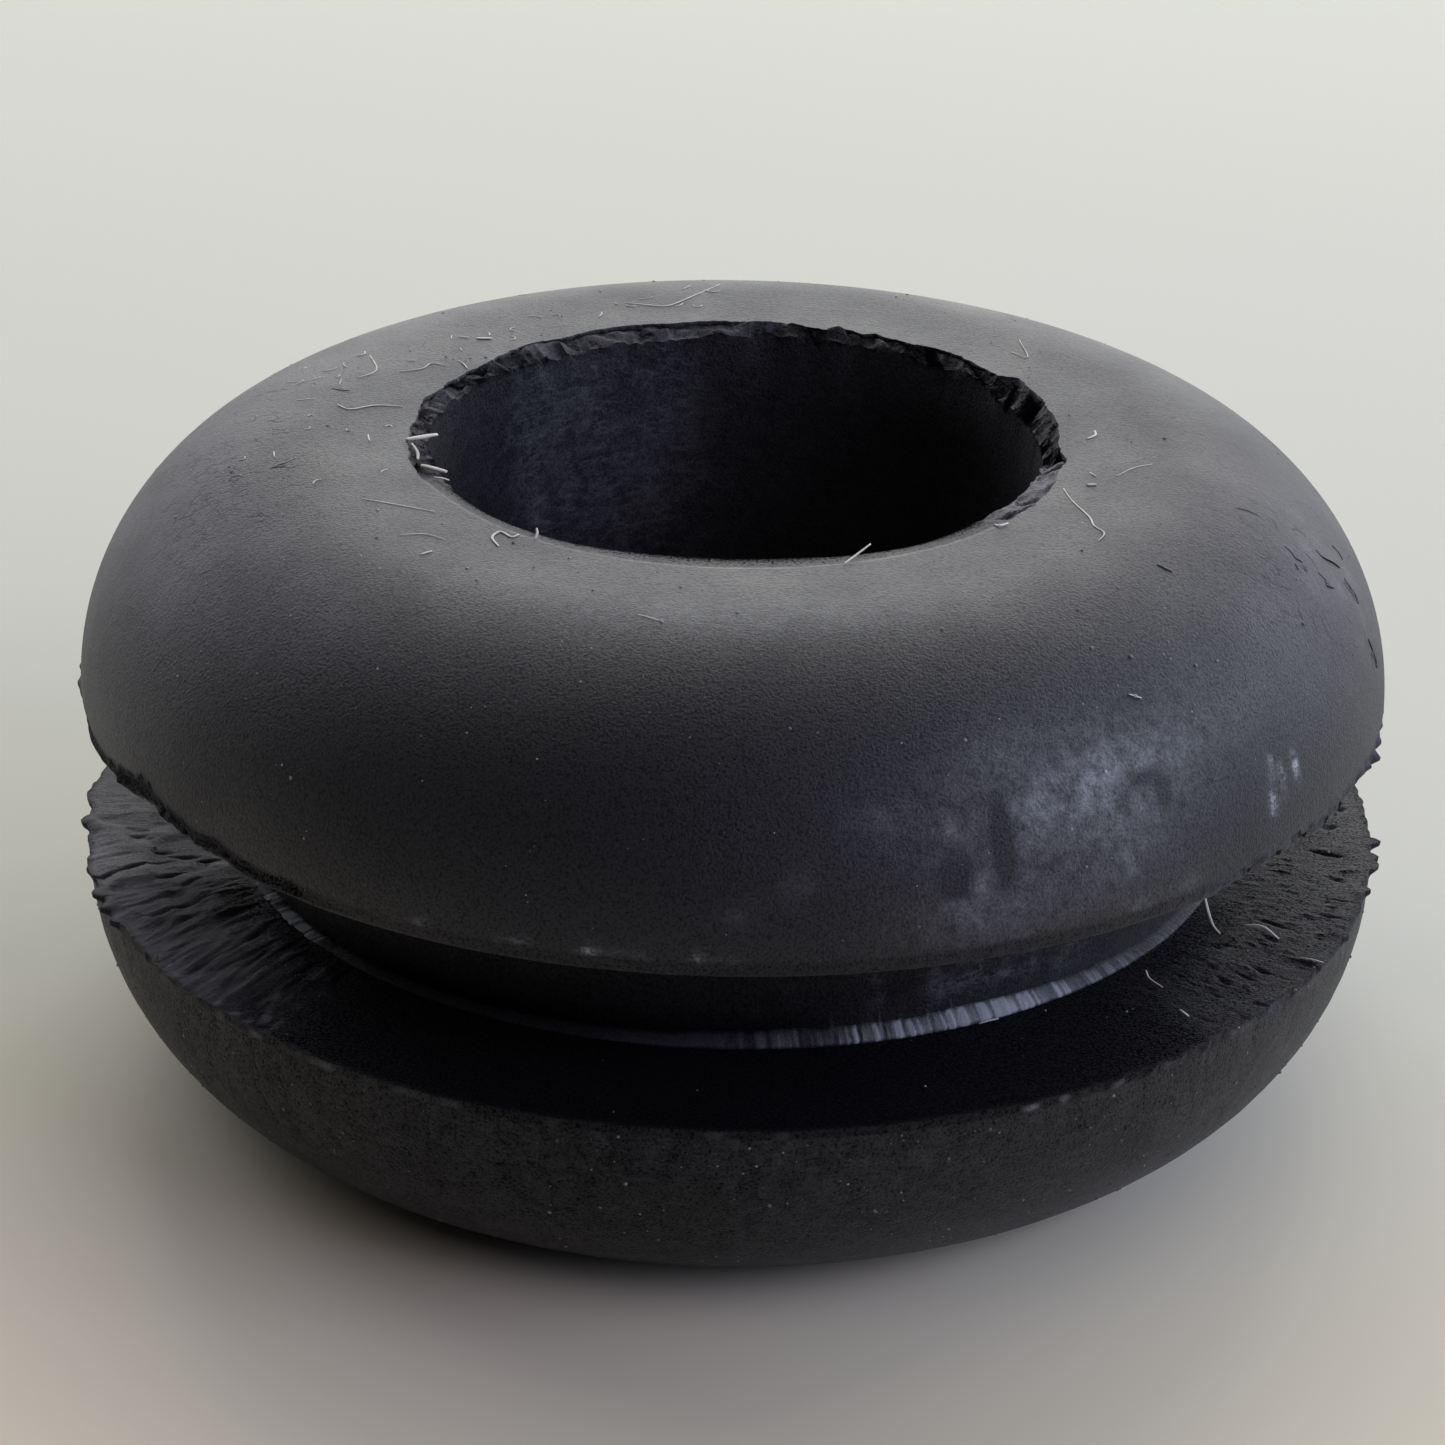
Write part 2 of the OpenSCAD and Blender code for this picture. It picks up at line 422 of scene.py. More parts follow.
neckBand = dict(
    # (angle, height) of the band at the neck's foot
    height=[
        (0, 0.2), (90, 0.2), (180, 0.12), (206, 0.06), (222, 0.05), (240, 0.11), (256, 0.17), (272, 0.24),
        (286, 0.29), (300, 0.3), (312, 0.2), (324, 0.12), (338, 0.1),
    ],
    # (angle, how pale the band is), a painted highlight for the light its lip catches, strongest on the
    # right front
    pale=[
        (180, 0), (210, 0.03), (225, 0.05), (243, 0.06), (254, 0.07), (262, 0.1), (274, 0.12),
        (281, 0.13), (285, 0.8), (293, 1.4), (301, 1.2), (308, 0.7), (314, 0.14), (324, 0.06),
        (340, 0.02),
    ],
    # how strong its ribs are: stretches of (start, end, easing, strength), and elsewhere
    ribbed=([(278, 333, 8, 0.7), (200, 220, 4, 0.7)], 0.3),
    highlightRibs=[(274, 340, 8, 1.3)],
    ribs=0.04,
    ribBumps=(81, (260, 620, 1100), (0.2, 0.5, 0.3)),
    beads=[(203, 222, 4, 0.07)],  # where it breaks into beads on the left
    highlightBeads=[(204, 217, 3, 1)],
    beadBumps=(88, (190, 380, 800)),
    uneven=([(200, 222, 5, 0.7)], 0.2),
    lip=0.012,
    lipSeed=83,
    unevenSeed=84,
    # splits between the ribs: (angle, depth, half width)
    gaps=[
        (284.2, 0.1, 0.3), (287, 0.07, 0.3), (289.1, 0.09, 0.25), (281.6, 0.06, 0.35), (292.4, 0.05, 0.3),
        (295.2, 0.04, 0.25), (303.5, 0.03, 0.3),
    ],
    clear=0.08,  # the plain wall starts this far above it
)


def bandRibs(turn, across):
    return jagged(turn + 0.3 * across, *neckBand["ribBumps"])


def bandBeads(turn):
    return np.clip(3.5 * jagged(turn, *neckBand["beadBumps"]), 0, 1)


def lowerLand(turn, across):
    ribs = neckBand["ribs"] * bandRibs(turn, across) - teeth(turn, neckBand["gaps"])
    ribs += stretches(turn, neckBand["beads"]) * bandBeads(turn)
    ribs *= stretches(turn, *neckBand["ribbed"]) * bulge(across, 0.6)
    uneven = stretches(turn, *neckBand["uneven"]) * jagged(turn, neckBand["unevenSeed"])
    height = along(turn, neckBand["height"]) * (1 + uneven)
    radius = landRadius - section["landOut"] * across ** 1.4 + ribs
    radius += neckBand["lip"] * jagged(turn, neckBand["lipSeed"])
    return radius, grooveLow + height * across


def neckWall(turn, across):
    low = grooveLow + along(turn, neckBand["height"]) + neckBand["clear"]
    high = grooveHigh - section["landTop"]
    return section["neckRadius"], low + (high - low) * across ** 1.6


def upperLand(turn, across):
    height = grooveHigh - section["landTop"] * (1 - across)
    return section["neckRadius"] + section["landOut"] * across, height


def brokenHeight(turn):
    # how far up from the groove the torn underside reaches, where it is above 0
    uneven = 1 + 0.8 * jagged(turn, *upperRim["brokenBumps"])
    return along(turn, upperRim["broken"]) * uneven - teeth(turn, upperRim["nicks"])


def rimHang(turn):
    # how far the upper rim's lower edge wanders up and down
    wander = upperRim["hang"] * tornSides(turn) * jagged(turn, upperRim["hangSeed"])
    return wander + teeth(turn, upperRim["nicks"])


def upperFace(turn, across):
    inset = upperRim["lean"] * np.maximum(brokenHeight(turn), 0)
    outer = rim - inset + 0.3 * rimReach(turn, upperRim) - tears["edgeDrop"]
    return landRadius + (outer - landRadius) * across, grooveHigh + rimHang(turn) * across ** 6


def upperFlash(turn, across):
    # the torn underside, leaning out to where the dome breaks off
    broken = np.maximum(brokenHeight(turn), 0)
    low, high = grooveHigh + rimHang(turn), top - corner + broken
    lumps = np.minimum(broken / 0.2, 1) * layered(turn, across, upperRim["lumps"]) * bulge(across)
    out = 0.3 + 0.7 * bulge(across) if across < 0.5 else bulge(across)
    inset = upperRim["lean"] * broken * (1 - across)
    return rim - inset + rimReach(turn, upperRim) * out + lumps, low + (high - low) * across


def upperDome(turn, across):
    start = np.arcsin(np.maximum(brokenHeight(turn), 0) / corner)
    angle = start + (math.pi / 2 - start) * across ** 1.25
    return flatRadius + corner * np.cos(angle), top - corner + corner * np.sin(angle)


def topFlat(turn, across):
    edge = mouthEdge(turn) + 0.05
    return flatRadius + (edge - flatRadius) * across ** 0.7, top


def mouthRim(turn, across):
    return mouthEdge(turn), top


def mouthLedge(turn, across):
    torn = mouthTorn(turn)
    edge, inner, depth = mouthEdge(turn), ledgeInner(turn), ledgeDepth(turn)
    bite = sector(turn, *mouth["bite"], 2)
    facets = 2 * np.abs(layered(turn, across, mouth["facets"])) - mouth["facetsBack"]
    ribs = mouth["ribs"] * jagged(turn + 1.5 * across, *mouth["ribBumps"])
    push = torn * (ribs + facets * (1 - bite)) + bite * layered(turn, across, mouth["lumps"])
    push *= bulge(across, 0.6)
    drop = mouth["drop"] * torn * min(across / 0.1, 1)
    rounded = across + (across ** 3 - across) * (1 - torn)
    height = top - drop - np.maximum(depth - drop, 0.02) * rounded + 0.7 * push
    return edge + (inner - edge) * across ** 1.1 + 0.5 * push, height


def boreWall(turn, across):
    start = top - np.maximum(ledgeDepth(turn), 0.02 + mouth["drop"])
    height = start + (section["mouthDepth"] - start) * across ** 2.2
    inward = 1 - easeStep((1 - height / start) * 16)
    return boreRadius + (ledgeInner(turn) - boreRadius) * inward, height


# What the rubber's finish reads from the mesh, besides the direction of its streaks; the matte mark also
# lays painted shade, and the dusty and chalky marks also lay painted highlights
wearNames = ("torn", "scuffed", "dustAndHighlight", "hazy", "matteAndShade", "chalkAndHighlight")
wear = dict(
    # marks are (angle, place along the skin, half width, half height, strength); the skin is
    # measured from the middle of the top, and a strength below 0 makes a clean or dark patch
    smudges=[
        (270, 8.5, 34, 0.5, 0.09), (290, 14.5, 5, 0.5, 0.09), (293, 11.9, 4, 0.6, 0.06),
        (307.6, 12.4, 5, 0.5, 0.12), (298, 12.9, 12, 1.3, 0.17), (304, 12.9, 6, 1, 0.12),
        (295.7, 12.8, 1.8, 0.3, 0.26), (300.8, 12.6, 2.2, 0.4, 0.22), (297.4, 12.4, 0.7, 0.16, 0.12),
        (302.6, 12.9, 0.5, 0.2, 0.14), (298.9, 13.15, 0.7, 0.14, 0.12), (299, 12.75, 0.5, 0.25, -0.12),
        (301.2, 13.1, 0.6, 0.14, -0.1), (303.8, 12.4, 0.6, 0.2, 0.1), (294.4, 13.3, 0.6, 0.18, 0.12),
        (290, 13.9, 0.8, 0.2, 0.2), (288, 13, 1.2, 0.22, 0.15), (288.7, 14.35, 1.3, 0.18, 0.12),
        (303.5, 14.1, 1.5, 0.28, 0.14), (282, 12.7, 2.4, 0.3, 0.08), (275.5, 13.7, 1.5, 0.3, 0.07),
        (271, 14.2, 1.5, 0.2, 0.07), (304.7, 15, 1.6, 0.16, 0.09), (309.7, 14.9, 1.6, 0.2, 0.09),
        (314, 12.3, 8, 0.8, 0.07), (296, 14.6, 12, 0.5, 0.06), (292.3, 13.2, 0.75, 0.65, -0.4),
        (288.2, 13.8, 1.1, 0.28, -0.25), (306.2, 12.8, 1.5, 0.16, -0.4), (308, 13.1, 0.8, 0.28, -0.35),
        (304, 12.98, 0.9, 0.2, -0.22), (322.8, 13.2, 0.8, 0.25, -0.25), (343.4, 10.8, 1, 0.25, 0.09),
        (346.8, 11.1, 0.9, 0.25, 0.08), (350.8, 11.4, 0.9, 0.25, 0.1), (351.8, 12.3, 1, 0.3, 0.09),
        (346.6, 12, 0.9, 0.25, 0.08), (341.5, 11.6, 1, 0.3, 0.07), (348.2, 12.8, 1, 0.3, 0.08),
        (344, 13, 1, 0.3, 0.05), (353, 10.8, 1.3, 0.3, 0.07),
    ],
    paleBlots=[
        (324.4, 13.75, 0.45, 0.2, 0.5), (322.2, 13.8, 0.4, 0.3, 0.3), (320.6, 14.1, 0.5, 0.3, 0.45),
        (321.2, 13.4, 0.4, 0.2, 0.2),
    ],
    scuffs=[
        (346, 11.7, 6, 1.1, 0.9), (346, 13.2, 2.5, 0.8, 0.8), (346, 9.6, 3, 0.4, 0.35),
        (165, 9.4, 4, 0.4, 0.4), (178, 8.9, 4, 0.4, 0.4), (191.5, 8.6, 2.2, 0.3, 0.4),
        (165.4, 7.9, 2, 0.2, 0.4), (207, 9.2, 5, 0.6, 0.25), (188, 10.4, 26, 1.8, 0.28),
        (338, 11.2, 14, 1.3, 0.2),
    ],
    dullPatches=[(194, 8.6, 12, 1.2, 0.36), (4, 7.9, 10, 0.8, 0.2)],
    # painted highlights: pale blots at the upper rim where small nodules catch the light, (angle,
    # strength), and their place and size
    rimGlintSpots=[(245.2, 0.15), (252.9, 0.22), (259.3, 0.4), (262.6, 0.2), (267.6, 0.25), (270, 0.1)],
    rimGlintSpot=(15.02, 0.8, 0.1),
    # pale lumps on the lower rim: (angle, strength, half width)
    rimLumps=[
        (295, 0.5, 0.9), (298.3, 0.45, 0.7), (303.3, 0.4, 0.8), (309, 0.2, 1.2), (228, 0.25, 1),
        (232, 0.2, 1.4), (236.3, 0.3, 0.8), (240.5, 0.25, 1), (243, 0.3, 1), (215, 0.2, 0.7),
        (219.6, 0.25, 0.6), (223.4, 0.2, 0.9), (256, 0.15, 0.6), (247.6, 0.2, 0.7), (265, 0.15, 0.6),
    ],
    rimGrit=0.14,  # the uneven pale grains between them
    rimGritBumps=(112, (60, 210, 520)),
    rimGritTurns=(206, 318, 12),
    rimLumpSeed=114,
    # haze in the bore: (angle, height, half width, half height, strength)
    boreHaze=[
        (130, 10.2, 9, 1, 0.05), (118, 10.9, 8, 0.8, 0.05), (112, 9.5, 8, 0.7, 0.04),
        (121, 8.9, 5, 0.5, 0.05), (104, 11.3, 6, 0.5, 0.035), (148, 10.6, 6, 0.5, 0.02),
    ],
    boreHazeBumps=(155, (40, 90, 180)),
    borePatch=[(114, 126, 22, 0.1)],
    borePatchBumps=(151, (24, 60, 140)),
    # the rest are stretches of (start, end, easing, strength), some followed by an even strength,
    # places of (start, end, easing), or a strength alone
    boreDull=([(150, 400, 20, 0.2)], 0.34),
    boreFilm=([(142, 200, 12, -0.014)], 0.024),
    boreDust=0.012,
    sideDull=([(196, 262, 20, 0.14)], 0.32),
    sideDust=0.021,
    sideCracks=0.14,
    sideCracksFrom=(0.5, 2.5),  # heights where they start and are full
    rimDull=0.55,
    rimTorn=0.6,
    faceTorn=[(203, 224, 8, 1.6), (178, 200, 8, 0.6), (*tears["right"], 5, 0.09)],
    faceDust=[(176, 188, 4, 0.03)],
    # front is painted shade on the groove's lower face under the upper flange; right and left dull the torn
    # stretches
    faceDullAndShade=dict(front=(208, 334, 14, 0.77), right=(*tears["right"], 6, 0.52), left=(174, 190, 5, 0.12)),
    faceEven=0.03,
    faceShadedInside=(200, 300, 12),  # where the torn face's paler colour fades out towards the neck, a painted shade under the upper flange
    faceShadedAcross=(226, 312, 8),  # and where the painted shade doesn't fade but covers the whole face
    # painted light: the left torn face is paler towards its outer edge and darker towards the neck
    facePaintedLight=[(190, 211, 5, 0.29)],
    facePaintedLightSeed=141,
    crestHighlights=0.5,  # painted highlights: pale tops of the combed ridges, where their edges catch the light
    crestHighlightBumps=[(1.4, 0, 820, 8, 44), (1, 0, 430, 5, 40)],
    bandDull=[(196, 276, 8, 0.6)],
    bandDust=[(320, 342, 3, 0.06)],
    bandTorn=0.4,
    neckDull=0.23,
    neckDust=[(290, 308, 9, 0.065)],
    neckMottle=[(2, 6, 190, 12, 190)],
    upperRimDull=([(194, 232, 8, 0.5)], 0.23),
    mouthEdgeHighlights=[(206, 318, 6, 0.25)],  # painted highlight: the pale line along the mouth's whole edge, where its rounded lip catches the light
    mouthRimLines=[(360, 392, 4, 0.2)],
    mouthLineSeed=131,
    mouthFold=0.12,  # a pale fold of rubber
    mouthFoldTurns=(128, 132, 0.8),
    mouthDust=[(78, 165, 10, 0.06)],
    mouthFilm=0.03,  # on its pale stretch
    mouthTorn=0.5,
    # painted shade: the back right of the ledge, which lies in shade, keeps no paler torn colour
    mouthDark=(34, 86, 3),
    mouthPale=(320, 349, 3),
    mouthDustBumps=(161, (60, 140, 300)),
    mouthRoughBumps=(121, (60, 140, 300)),
    mouthStepShadow=(40, 170, 10),  # where a painted shadow line runs along the small step under the torn edge
)


def blots(turn, place, marks):
    # soft patches, added up
    total = np.zeros_like(turn)
    for angle, middle, wide, tall, strength in marks:
        total += strength * np.exp(-(turnGap(turn, angle) / wide) ** 2 - ((place - middle) / tall) ** 2)
    return total


# Each of these gives the wear on one strip; what it leaves out is 0

def noWear(turn, across, radius, height):
    return {}


def lowerDomeWear(turn, across, radius, height):
    start, full = wear["sideCracksFrom"]
    cracks = wear["sideCracks"] * easeStep((height - start) / (full - start))
    return dict(scuffed=cracks, dustAndHighlight=wear["sideDust"], matteAndShade=stretches(turn, *wear["sideDull"]))


def lowerFlashWear(turn, across, radius, height):
    grit = np.clip(jagged(turn, *wear["rimGritBumps"]) * 3 - 0.6, 0, 1)
    grit *= sector(turn, *wear["rimGritTurns"])
    lumps = teeth(turn, wear["rimLumps"]) * (0.6 + jagged(turn, wear["rimLumpSeed"]))
    pale = (wear["rimGrit"] * grit + lumps) * bulge(across)
    return dict(torn=wear["rimTorn"] * tornSides(turn, 6), matteAndShade=wear["rimDull"], chalkAndHighlight=pale)


def lowerFaceWear(turn, across, radius, height):
    # painted shade: the face darkens towards the neck, and across all of it in front, where the upper
    # flange shades it
    inner = 1 - sector(turn, *wear["faceShadedInside"]) * (1 - easeStep((radius - 9.8) / 1.6))
    dustAndHighlight = stretches(turn, wear["faceDust"]) * easeStep(radius - 11)
    inward = 1 - easeStep((radius - 9.9) / 2.6) * (1 - sector(turn, *wear["faceShadedAcross"]))
    front, right, left = (stretches(turn, [wear["faceDullAndShade"][side]]) for side in ("front", "right", "left"))
    dull = np.maximum(np.maximum(inward * front, right), left) + wear["faceEven"]
    turned = slant(turn, rim - across * (rim - landRadius))
    crestHighlights = np.clip(layered(turned, across, wear["crestHighlightBumps"]) - 0.35, 0, 1)
    crestHighlights *= wear["crestHighlights"] * sector(turn, *tears["combed"], 5)
    # painted light: paler towards the face's outer edge, darker towards the neck; the crests are painted
    # highlights
    outer = (1 - across) ** 0.7 * (0.75 + 0.5 * jagged(turn + 9 * across, wear["facePaintedLightSeed"]))
    pale = (stretches(turn, wear["facePaintedLight"]) + crestHighlights) * outer
    return dict(torn=stretches(turn, wear["faceTorn"]) * inner, dustAndHighlight=dustAndHighlight, matteAndShade=dull, chalkAndHighlight=pale)


def lowerLandWear(turn, across, radius, height):
    ribs = np.clip(0.25 + 4 * bandRibs(turn, across), 0, 1.6) - 0.5
    # painted highlight: the band's pale colour stands for the light its ribbed lip and beads catch,
    # brightest along its lower edge
    pale = along(turn, neckBand["pale"]) * (1 + ribs * stretches(turn, neckBand["highlightRibs"]))
    pale += stretches(turn, neckBand["highlightBeads"]) * (0.15 + 3 * bandBeads(turn))
    pale *= min(1, 4 * (1 - across)) * (1.3 - 0.6 * across)
    dustAndHighlight = stretches(turn, wear["bandDust"]) * (across < 0.3)
    torn = wear["bandTorn"] * min(1, 5 * (1 - across))
    return dict(torn=torn, dustAndHighlight=dustAndHighlight, matteAndShade=stretches(turn, wear["bandDull"]), chalkAndHighlight=pale)


def neckWallWear(turn, across, radius, height):
    mottle = np.clip(0.7 + layered(turn, across, wear["neckMottle"]), 0, 1.6)
    dustAndHighlight = stretches(turn, wear["neckDust"]) * mottle * bulge(across) + 0.01
    return dict(dustAndHighlight=dustAndHighlight, matteAndShade=wear["neckDull"])


def upperFlashWear(turn, across, radius, height):
    return dict(torn=wear["rimTorn"] * tornSides(turn, 6), matteAndShade=stretches(turn, *wear["upperRimDull"]))


def upperDomeWear(turn, across, radius, height):
    skin = flatRadius + corner * np.arccos(np.clip((height - top + corner) / corner, -1, 1))
    even = flatRadius + corner * math.pi / 2 * (1 - across ** 1.25)  # as if no edge were broken
    place, wide, tall = wear["rimGlintSpot"]
    # the rim blots are painted highlights, laid into the pale dust mark
    rimMarks = [(angle, place, wide, tall, strength) for angle, strength in wear["rimGlintSpots"]]
    return dict(scuffed=np.clip(blots(turn, skin, wear["scuffs"]), 0, 1),
                dustAndHighlight=blots(turn, skin, rimMarks + wear["paleBlots"]),
                hazy=blots(turn, skin, wear["smudges"]),
                matteAndShade=blots(turn, even, wear["dullPatches"]))


def mouthLedgeWear(turn, across, radius, height):
    bite = sector(turn, *mouth["bite"], 3)
    # painted shade: the torn colour is also left out where the ledge lies in shade at the back right
    torn = wear["mouthTorn"] * mouthTorn(turn) * (1 - np.maximum(bite, sector(turn, *wear["mouthDark"])))
    lumps = np.clip(0.4 + 1.8 * jagged(turn + 3 * across, *wear["mouthDustBumps"]), 0, 1)
    bare = sector(turn, *wear["mouthPale"])
    dustAndHighlight = stretches(turn, wear["mouthDust"]) * lumps + wear["mouthFilm"] * bare
    whole = sector(turn, *mouth["whole"], 8)
    rough = 0.55 + 0.4 * bite + 0.9 * jagged(turn + 5 * across, *wear["mouthRoughBumps"])
    broken = (1 - whole) * (1 - 0.85 * bare) * rough
    # painted shade: the front ledge darkens towards the bore, and a painted shadow line runs under the torn
    # edge
    step = (across < 0.15) * sector(turn, *wear["mouthStepShadow"])
    dull = np.maximum(whole * min(1, max(0, 0.15 + across)) + broken, step)
    fleck = jagged(turn, wear["mouthLineSeed"])
    # painted highlight along the whole front edge of the mouth
    pale = stretches(turn, wear["mouthEdgeHighlights"]) * (across < 0.2) * (0.8 + 0.5 * fleck)
    pale += stretches(turn, wear["mouthRimLines"]) * (across < 0.12) * (0.8 + 0.8 * fleck)
    start, end, soft = wear["mouthFoldTurns"]
    pale += wear["mouthFold"] * sector(turn, start, end - 2 * across, soft) * bulge(across)
    return dict(torn=torn, dustAndHighlight=dustAndHighlight, matteAndShade=dull, chalkAndHighlight=pale)


def boreWallWear(turn, across, radius, height):
    uneven = np.clip(1 + 2 * jagged(turn + 6 * height, *wear["boreHazeBumps"]), 0.1, 3)
    mottle = 0.7 + 1.2 * jagged(turn + 20 * across, *wear["borePatchBumps"])
    dustAndHighlight = stretches(turn, wear["borePatch"]) * mottle * (1 - 0.6 * across) * min(across * 5, 1)
    dustAndHighlight += wear["boreDust"]
    return dict(dustAndHighlight=dustAndHighlight, hazy=blots(turn, height, wear["boreHaze"]) * uneven,
                matteAndShade=stretches(turn, *wear["boreDull"]), chalkAndHighlight=stretches(turn, *wear["boreFilm"]))


def spacedTurns(count, weight):
    # count angles, closer together where the weight is higher
    probe = np.arange(7200) / 20
    total = np.cumsum(weight(probe))
    return np.interp(np.arange(count) / count * total[-1], total - total[0], probe)


plainTurns = spacedTurns(380, lambda t: 1 + 2 * sector(t, 280, 352, 12))
sideTurns = spacedTurns(560, lambda t: 1 + 2 * np.maximum(sector(t, 180, 240, 10), sector(t, 290, 360, 10)))
rimTurns = spacedTurns(1280, lambda t: 1 + 5 * np.maximum(sector(t, 174, 228, 8), sector(t, 276, 368, 8)))
mouthTurns = spacedTurns(1300, lambda t: 1 + 3 * sector(t, 316, 568, 10))
strips = [
    # shape, wear, rings, angles
    (bottomLedge, noWear, 1, plainTurns),
    (bottomFlat, noWear, 1, plainTurns),
    (lowerDome, lowerDomeWear, 22, sideTurns),
    (lowerFlash, lowerFlashWear, 4, rimTurns),
    (lowerFace, lowerFaceWear, 24, rimTurns),
    (lowerLand, lowerLandWear, 5, rimTurns),
    (neckWall, neckWallWear, 3, plainTurns),
    (upperLand, noWear, 1, plainTurns),
    (upperFace, noWear, 2, rimTurns),
    (upperFlash, upperFlashWear, 6, rimTurns),
    (upperDome, upperDomeWear, 32, plainTurns),
    (topFlat, noWear, 4, plainTurns),
    (mouthRim, noWear, 1, mouthTurns),
    (mouthLedge, mouthLedgeWear, 10, mouthTurns),
    (boreWall, boreWallWear, 8, plainTurns),
]


def skirt(startA, turnsA, startB, turnsB):
    # faces between two rings
    countA, countB = len(turnsA), len(turnsB)
    if turnsA is turnsB:
        return [(startA + i, startA + (i + 1) % countA, startB + (i + 1) % countA, startB + i)
                for i in range(countA)]
    endA, endB = np.append(turnsA, 360), np.append(turnsB, 360)
    faces, i, j = [], 0, 0
    while i < countA or j < countB:
        here, there = startA + i % countA, startB + j % countB
        if j == countB or (i < countA and endA[i + 1] <= endB[j + 1]):
            i += 1
            faces.append((here, startA + i % countA, there))
        else:
            j += 1
            faces.append((here, startB + j % countB, there))
    return faces


def newObject(name, data):
    made = bpy.data.objects.new(name, data)
    bpy.context.scene.collection.objects.link(made)
    return made


streaks = dict(everywhere=0.15, right=0.55)  # how fast they change along their length


def makeBody():
    verts, faces, rings, marks, lines = [], [], [], [], []
    start = 0
    for shape, wearOf, steps, turns in strips:
        around = np.radians(turns)
        for step in range(1, steps + 1):
            across = step / steps
            radius, height = (part + 0 * turns for part in shape(turns, across))
            verts.append(np.stack([radius * np.cos(around), radius * np.sin(around), height], 1))
            worn = wearOf(turns, across, radius, height)
            marks.append(np.stack([worn.get(name, 0) + 0 * turns for name in wearNames], 1))
            turned = np.radians(slant(turns, radius))
            stretch = streaks["everywhere"] + streaks["right"] * sector(turns, *tears["right"], 10)
            lines.append(np.stack([rim * np.cos(turned), rim * np.sin(turned),
                                     stretch * (radius + height - rim)], 1))
            rings.append((start, turns))
            start += len(turns)
    for (startA, turnsA), (startB, turnsB) in zip(rings, rings[1:] + rings[:1]):
        faces += skirt(startA, turnsA, startB, turnsB)
    mesh = bpy.data.meshes.new("grommetBody")
    mesh.from_pydata((np.concatenate(verts) * mm).tolist(), [], faces)
    mesh.update()
    mesh.shade_smooth()
    mesh.set_sharp_from_angle(angle=math.radians(40))
    for column, name in zip(np.concatenate(marks).T, wearNames):
        layer = mesh.attributes.new(name, "FLOAT", "POINT")
        layer.data.foreach_set("value", np.ascontiguousarray(column, np.float32))
    layer = mesh.attributes.new("streak", "FLOAT_VECTOR", "POINT")
    layer.data.foreach_set("vector", np.concatenate(lines).astype(np.float32).ravel())
    return newObject("grommetBody", mesh)


grommetBody = makeBody()
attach(grommetBody, "root")
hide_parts("grommet")
grommetBody.data.calc_loop_triangles()
print("body made,", len(grommetBody.data.loop_triangles), "triangles")


# Places and shapes for what lies on the rubber

def polar(turn, radius, height):
    angle = math.radians(turn)
    return Vector((radius * math.cos(angle), radius * math.sin(angle), height))


def skinSpot(turn, place, lift=0.0):
    # a point on the upper flange and the way out from it
    bend = max(0, (place - flatRadius) / corner)
    radius = place if place < flatRadius else flatRadius + corner * math.sin(bend)
    out = polar(turn, math.sin(bend), math.cos(bend))
    return polar(turn, radius, top - corner + corner * math.cos(bend)) + out * lift, out


def lowSpot(turn, place):
    # the same on the lower flange
    spot, out = skinSpot(turn, place)
    spot.z, out.z = top - spot.z, -out.z
    return spot, out


def faceSpot(turn, radius, lift=0.0):
    return polar(turn, radius, grooveLow + lift), Vector((0, 0, 1))


def smoothPath(points, steps=6):
    # a curve through the points
    ends = [points[0] * 2 - points[1]] + points + [points[-1] * 2 - points[-2]]
    path = []
    for a, b, c, d in zip(ends, ends[1:], ends[2:], ends[3:]):
        for k in range(steps):
            t = k / steps
            path.append(0.5 * (2 * b + (c - a) * t + (2 * a - 5 * b + 4 * c - d) * t ** 2
                               + (3 * b - a - 3 * c + d) * t ** 3))
    return path + [points[-1]]


def addThread(verts, faces, path, radius, flat=0.35, sides=6):
    # a tapering thread with closed ends along the path
    first = len(verts)
    for k, spot in enumerate(path):
        ahead = (path[min(k + 1, len(path) - 1)] - path[max(k - 1, 0)]).normalized()
        side = ahead.cross(Vector((0, 0, 1)))
        side = side.normalized() if side.length > 0.01 else Vector((1, 0, 0))
        up = side.cross(ahead)
        thin = radius * (0.45 + 0.55 * math.sin(math.pi * (k + 0.6) / (len(path) + 0.2)) ** 0.5)
        for n in range(sides):
            angle = 2 * math.pi * n / sides
            verts.append(spot + side * thin * math.cos(angle) + up * thin * flat * math.sin(angle))
    for k in range(len(path) - 1):
        for n in range(sides):
            a, b = first + k * sides + n, first + k * sides + (n + 1) % sides
            faces.append((a, b, b + sides, a + sides))
    faces.append(tuple(first + n for n in range(sides))[::-1])
    faces.append(tuple(first + (len(path) - 1) * sides + n for n in range(sides)))


def addCrumb(verts, faces, spot, out, wide, tall, pick):
    # a small lump of five sides sitting on the surface
    first = len(verts)
    side = out.cross(Vector((0.3, 0.2, 0.9))).normalized()
    up = out.cross(side)
    spin = pick.uniform(0, 6.28)
    for reach, lift in ((1.0, -0.2), (0.85, 0.45)):
        for n in range(5):
            angle = spin + 1.257 * n
            swing = wide * reach * pick.uniform(0.7, 1.2)
            verts.append(spot + side * swing * math.cos(angle) + up * swing * math.sin(angle)
                         + out * tall * lift * pick.uniform(0.8, 1.2))
    verts.append(spot + out * tall)
    for n in range(5):
        a, b = first + n, first + (n + 1) % 5
        faces += [(a, b, b + 5, a + 5), (a + 5, b + 5, first + 10)]
    faces.append(tuple(first + n for n in range(5))[::-1])


def makePiece(name, verts, faces):
    mesh = bpy.data.meshes.new(name)
    mesh.from_pydata([v * mm for v in verts], [], faces)
    return newObject(name, mesh)


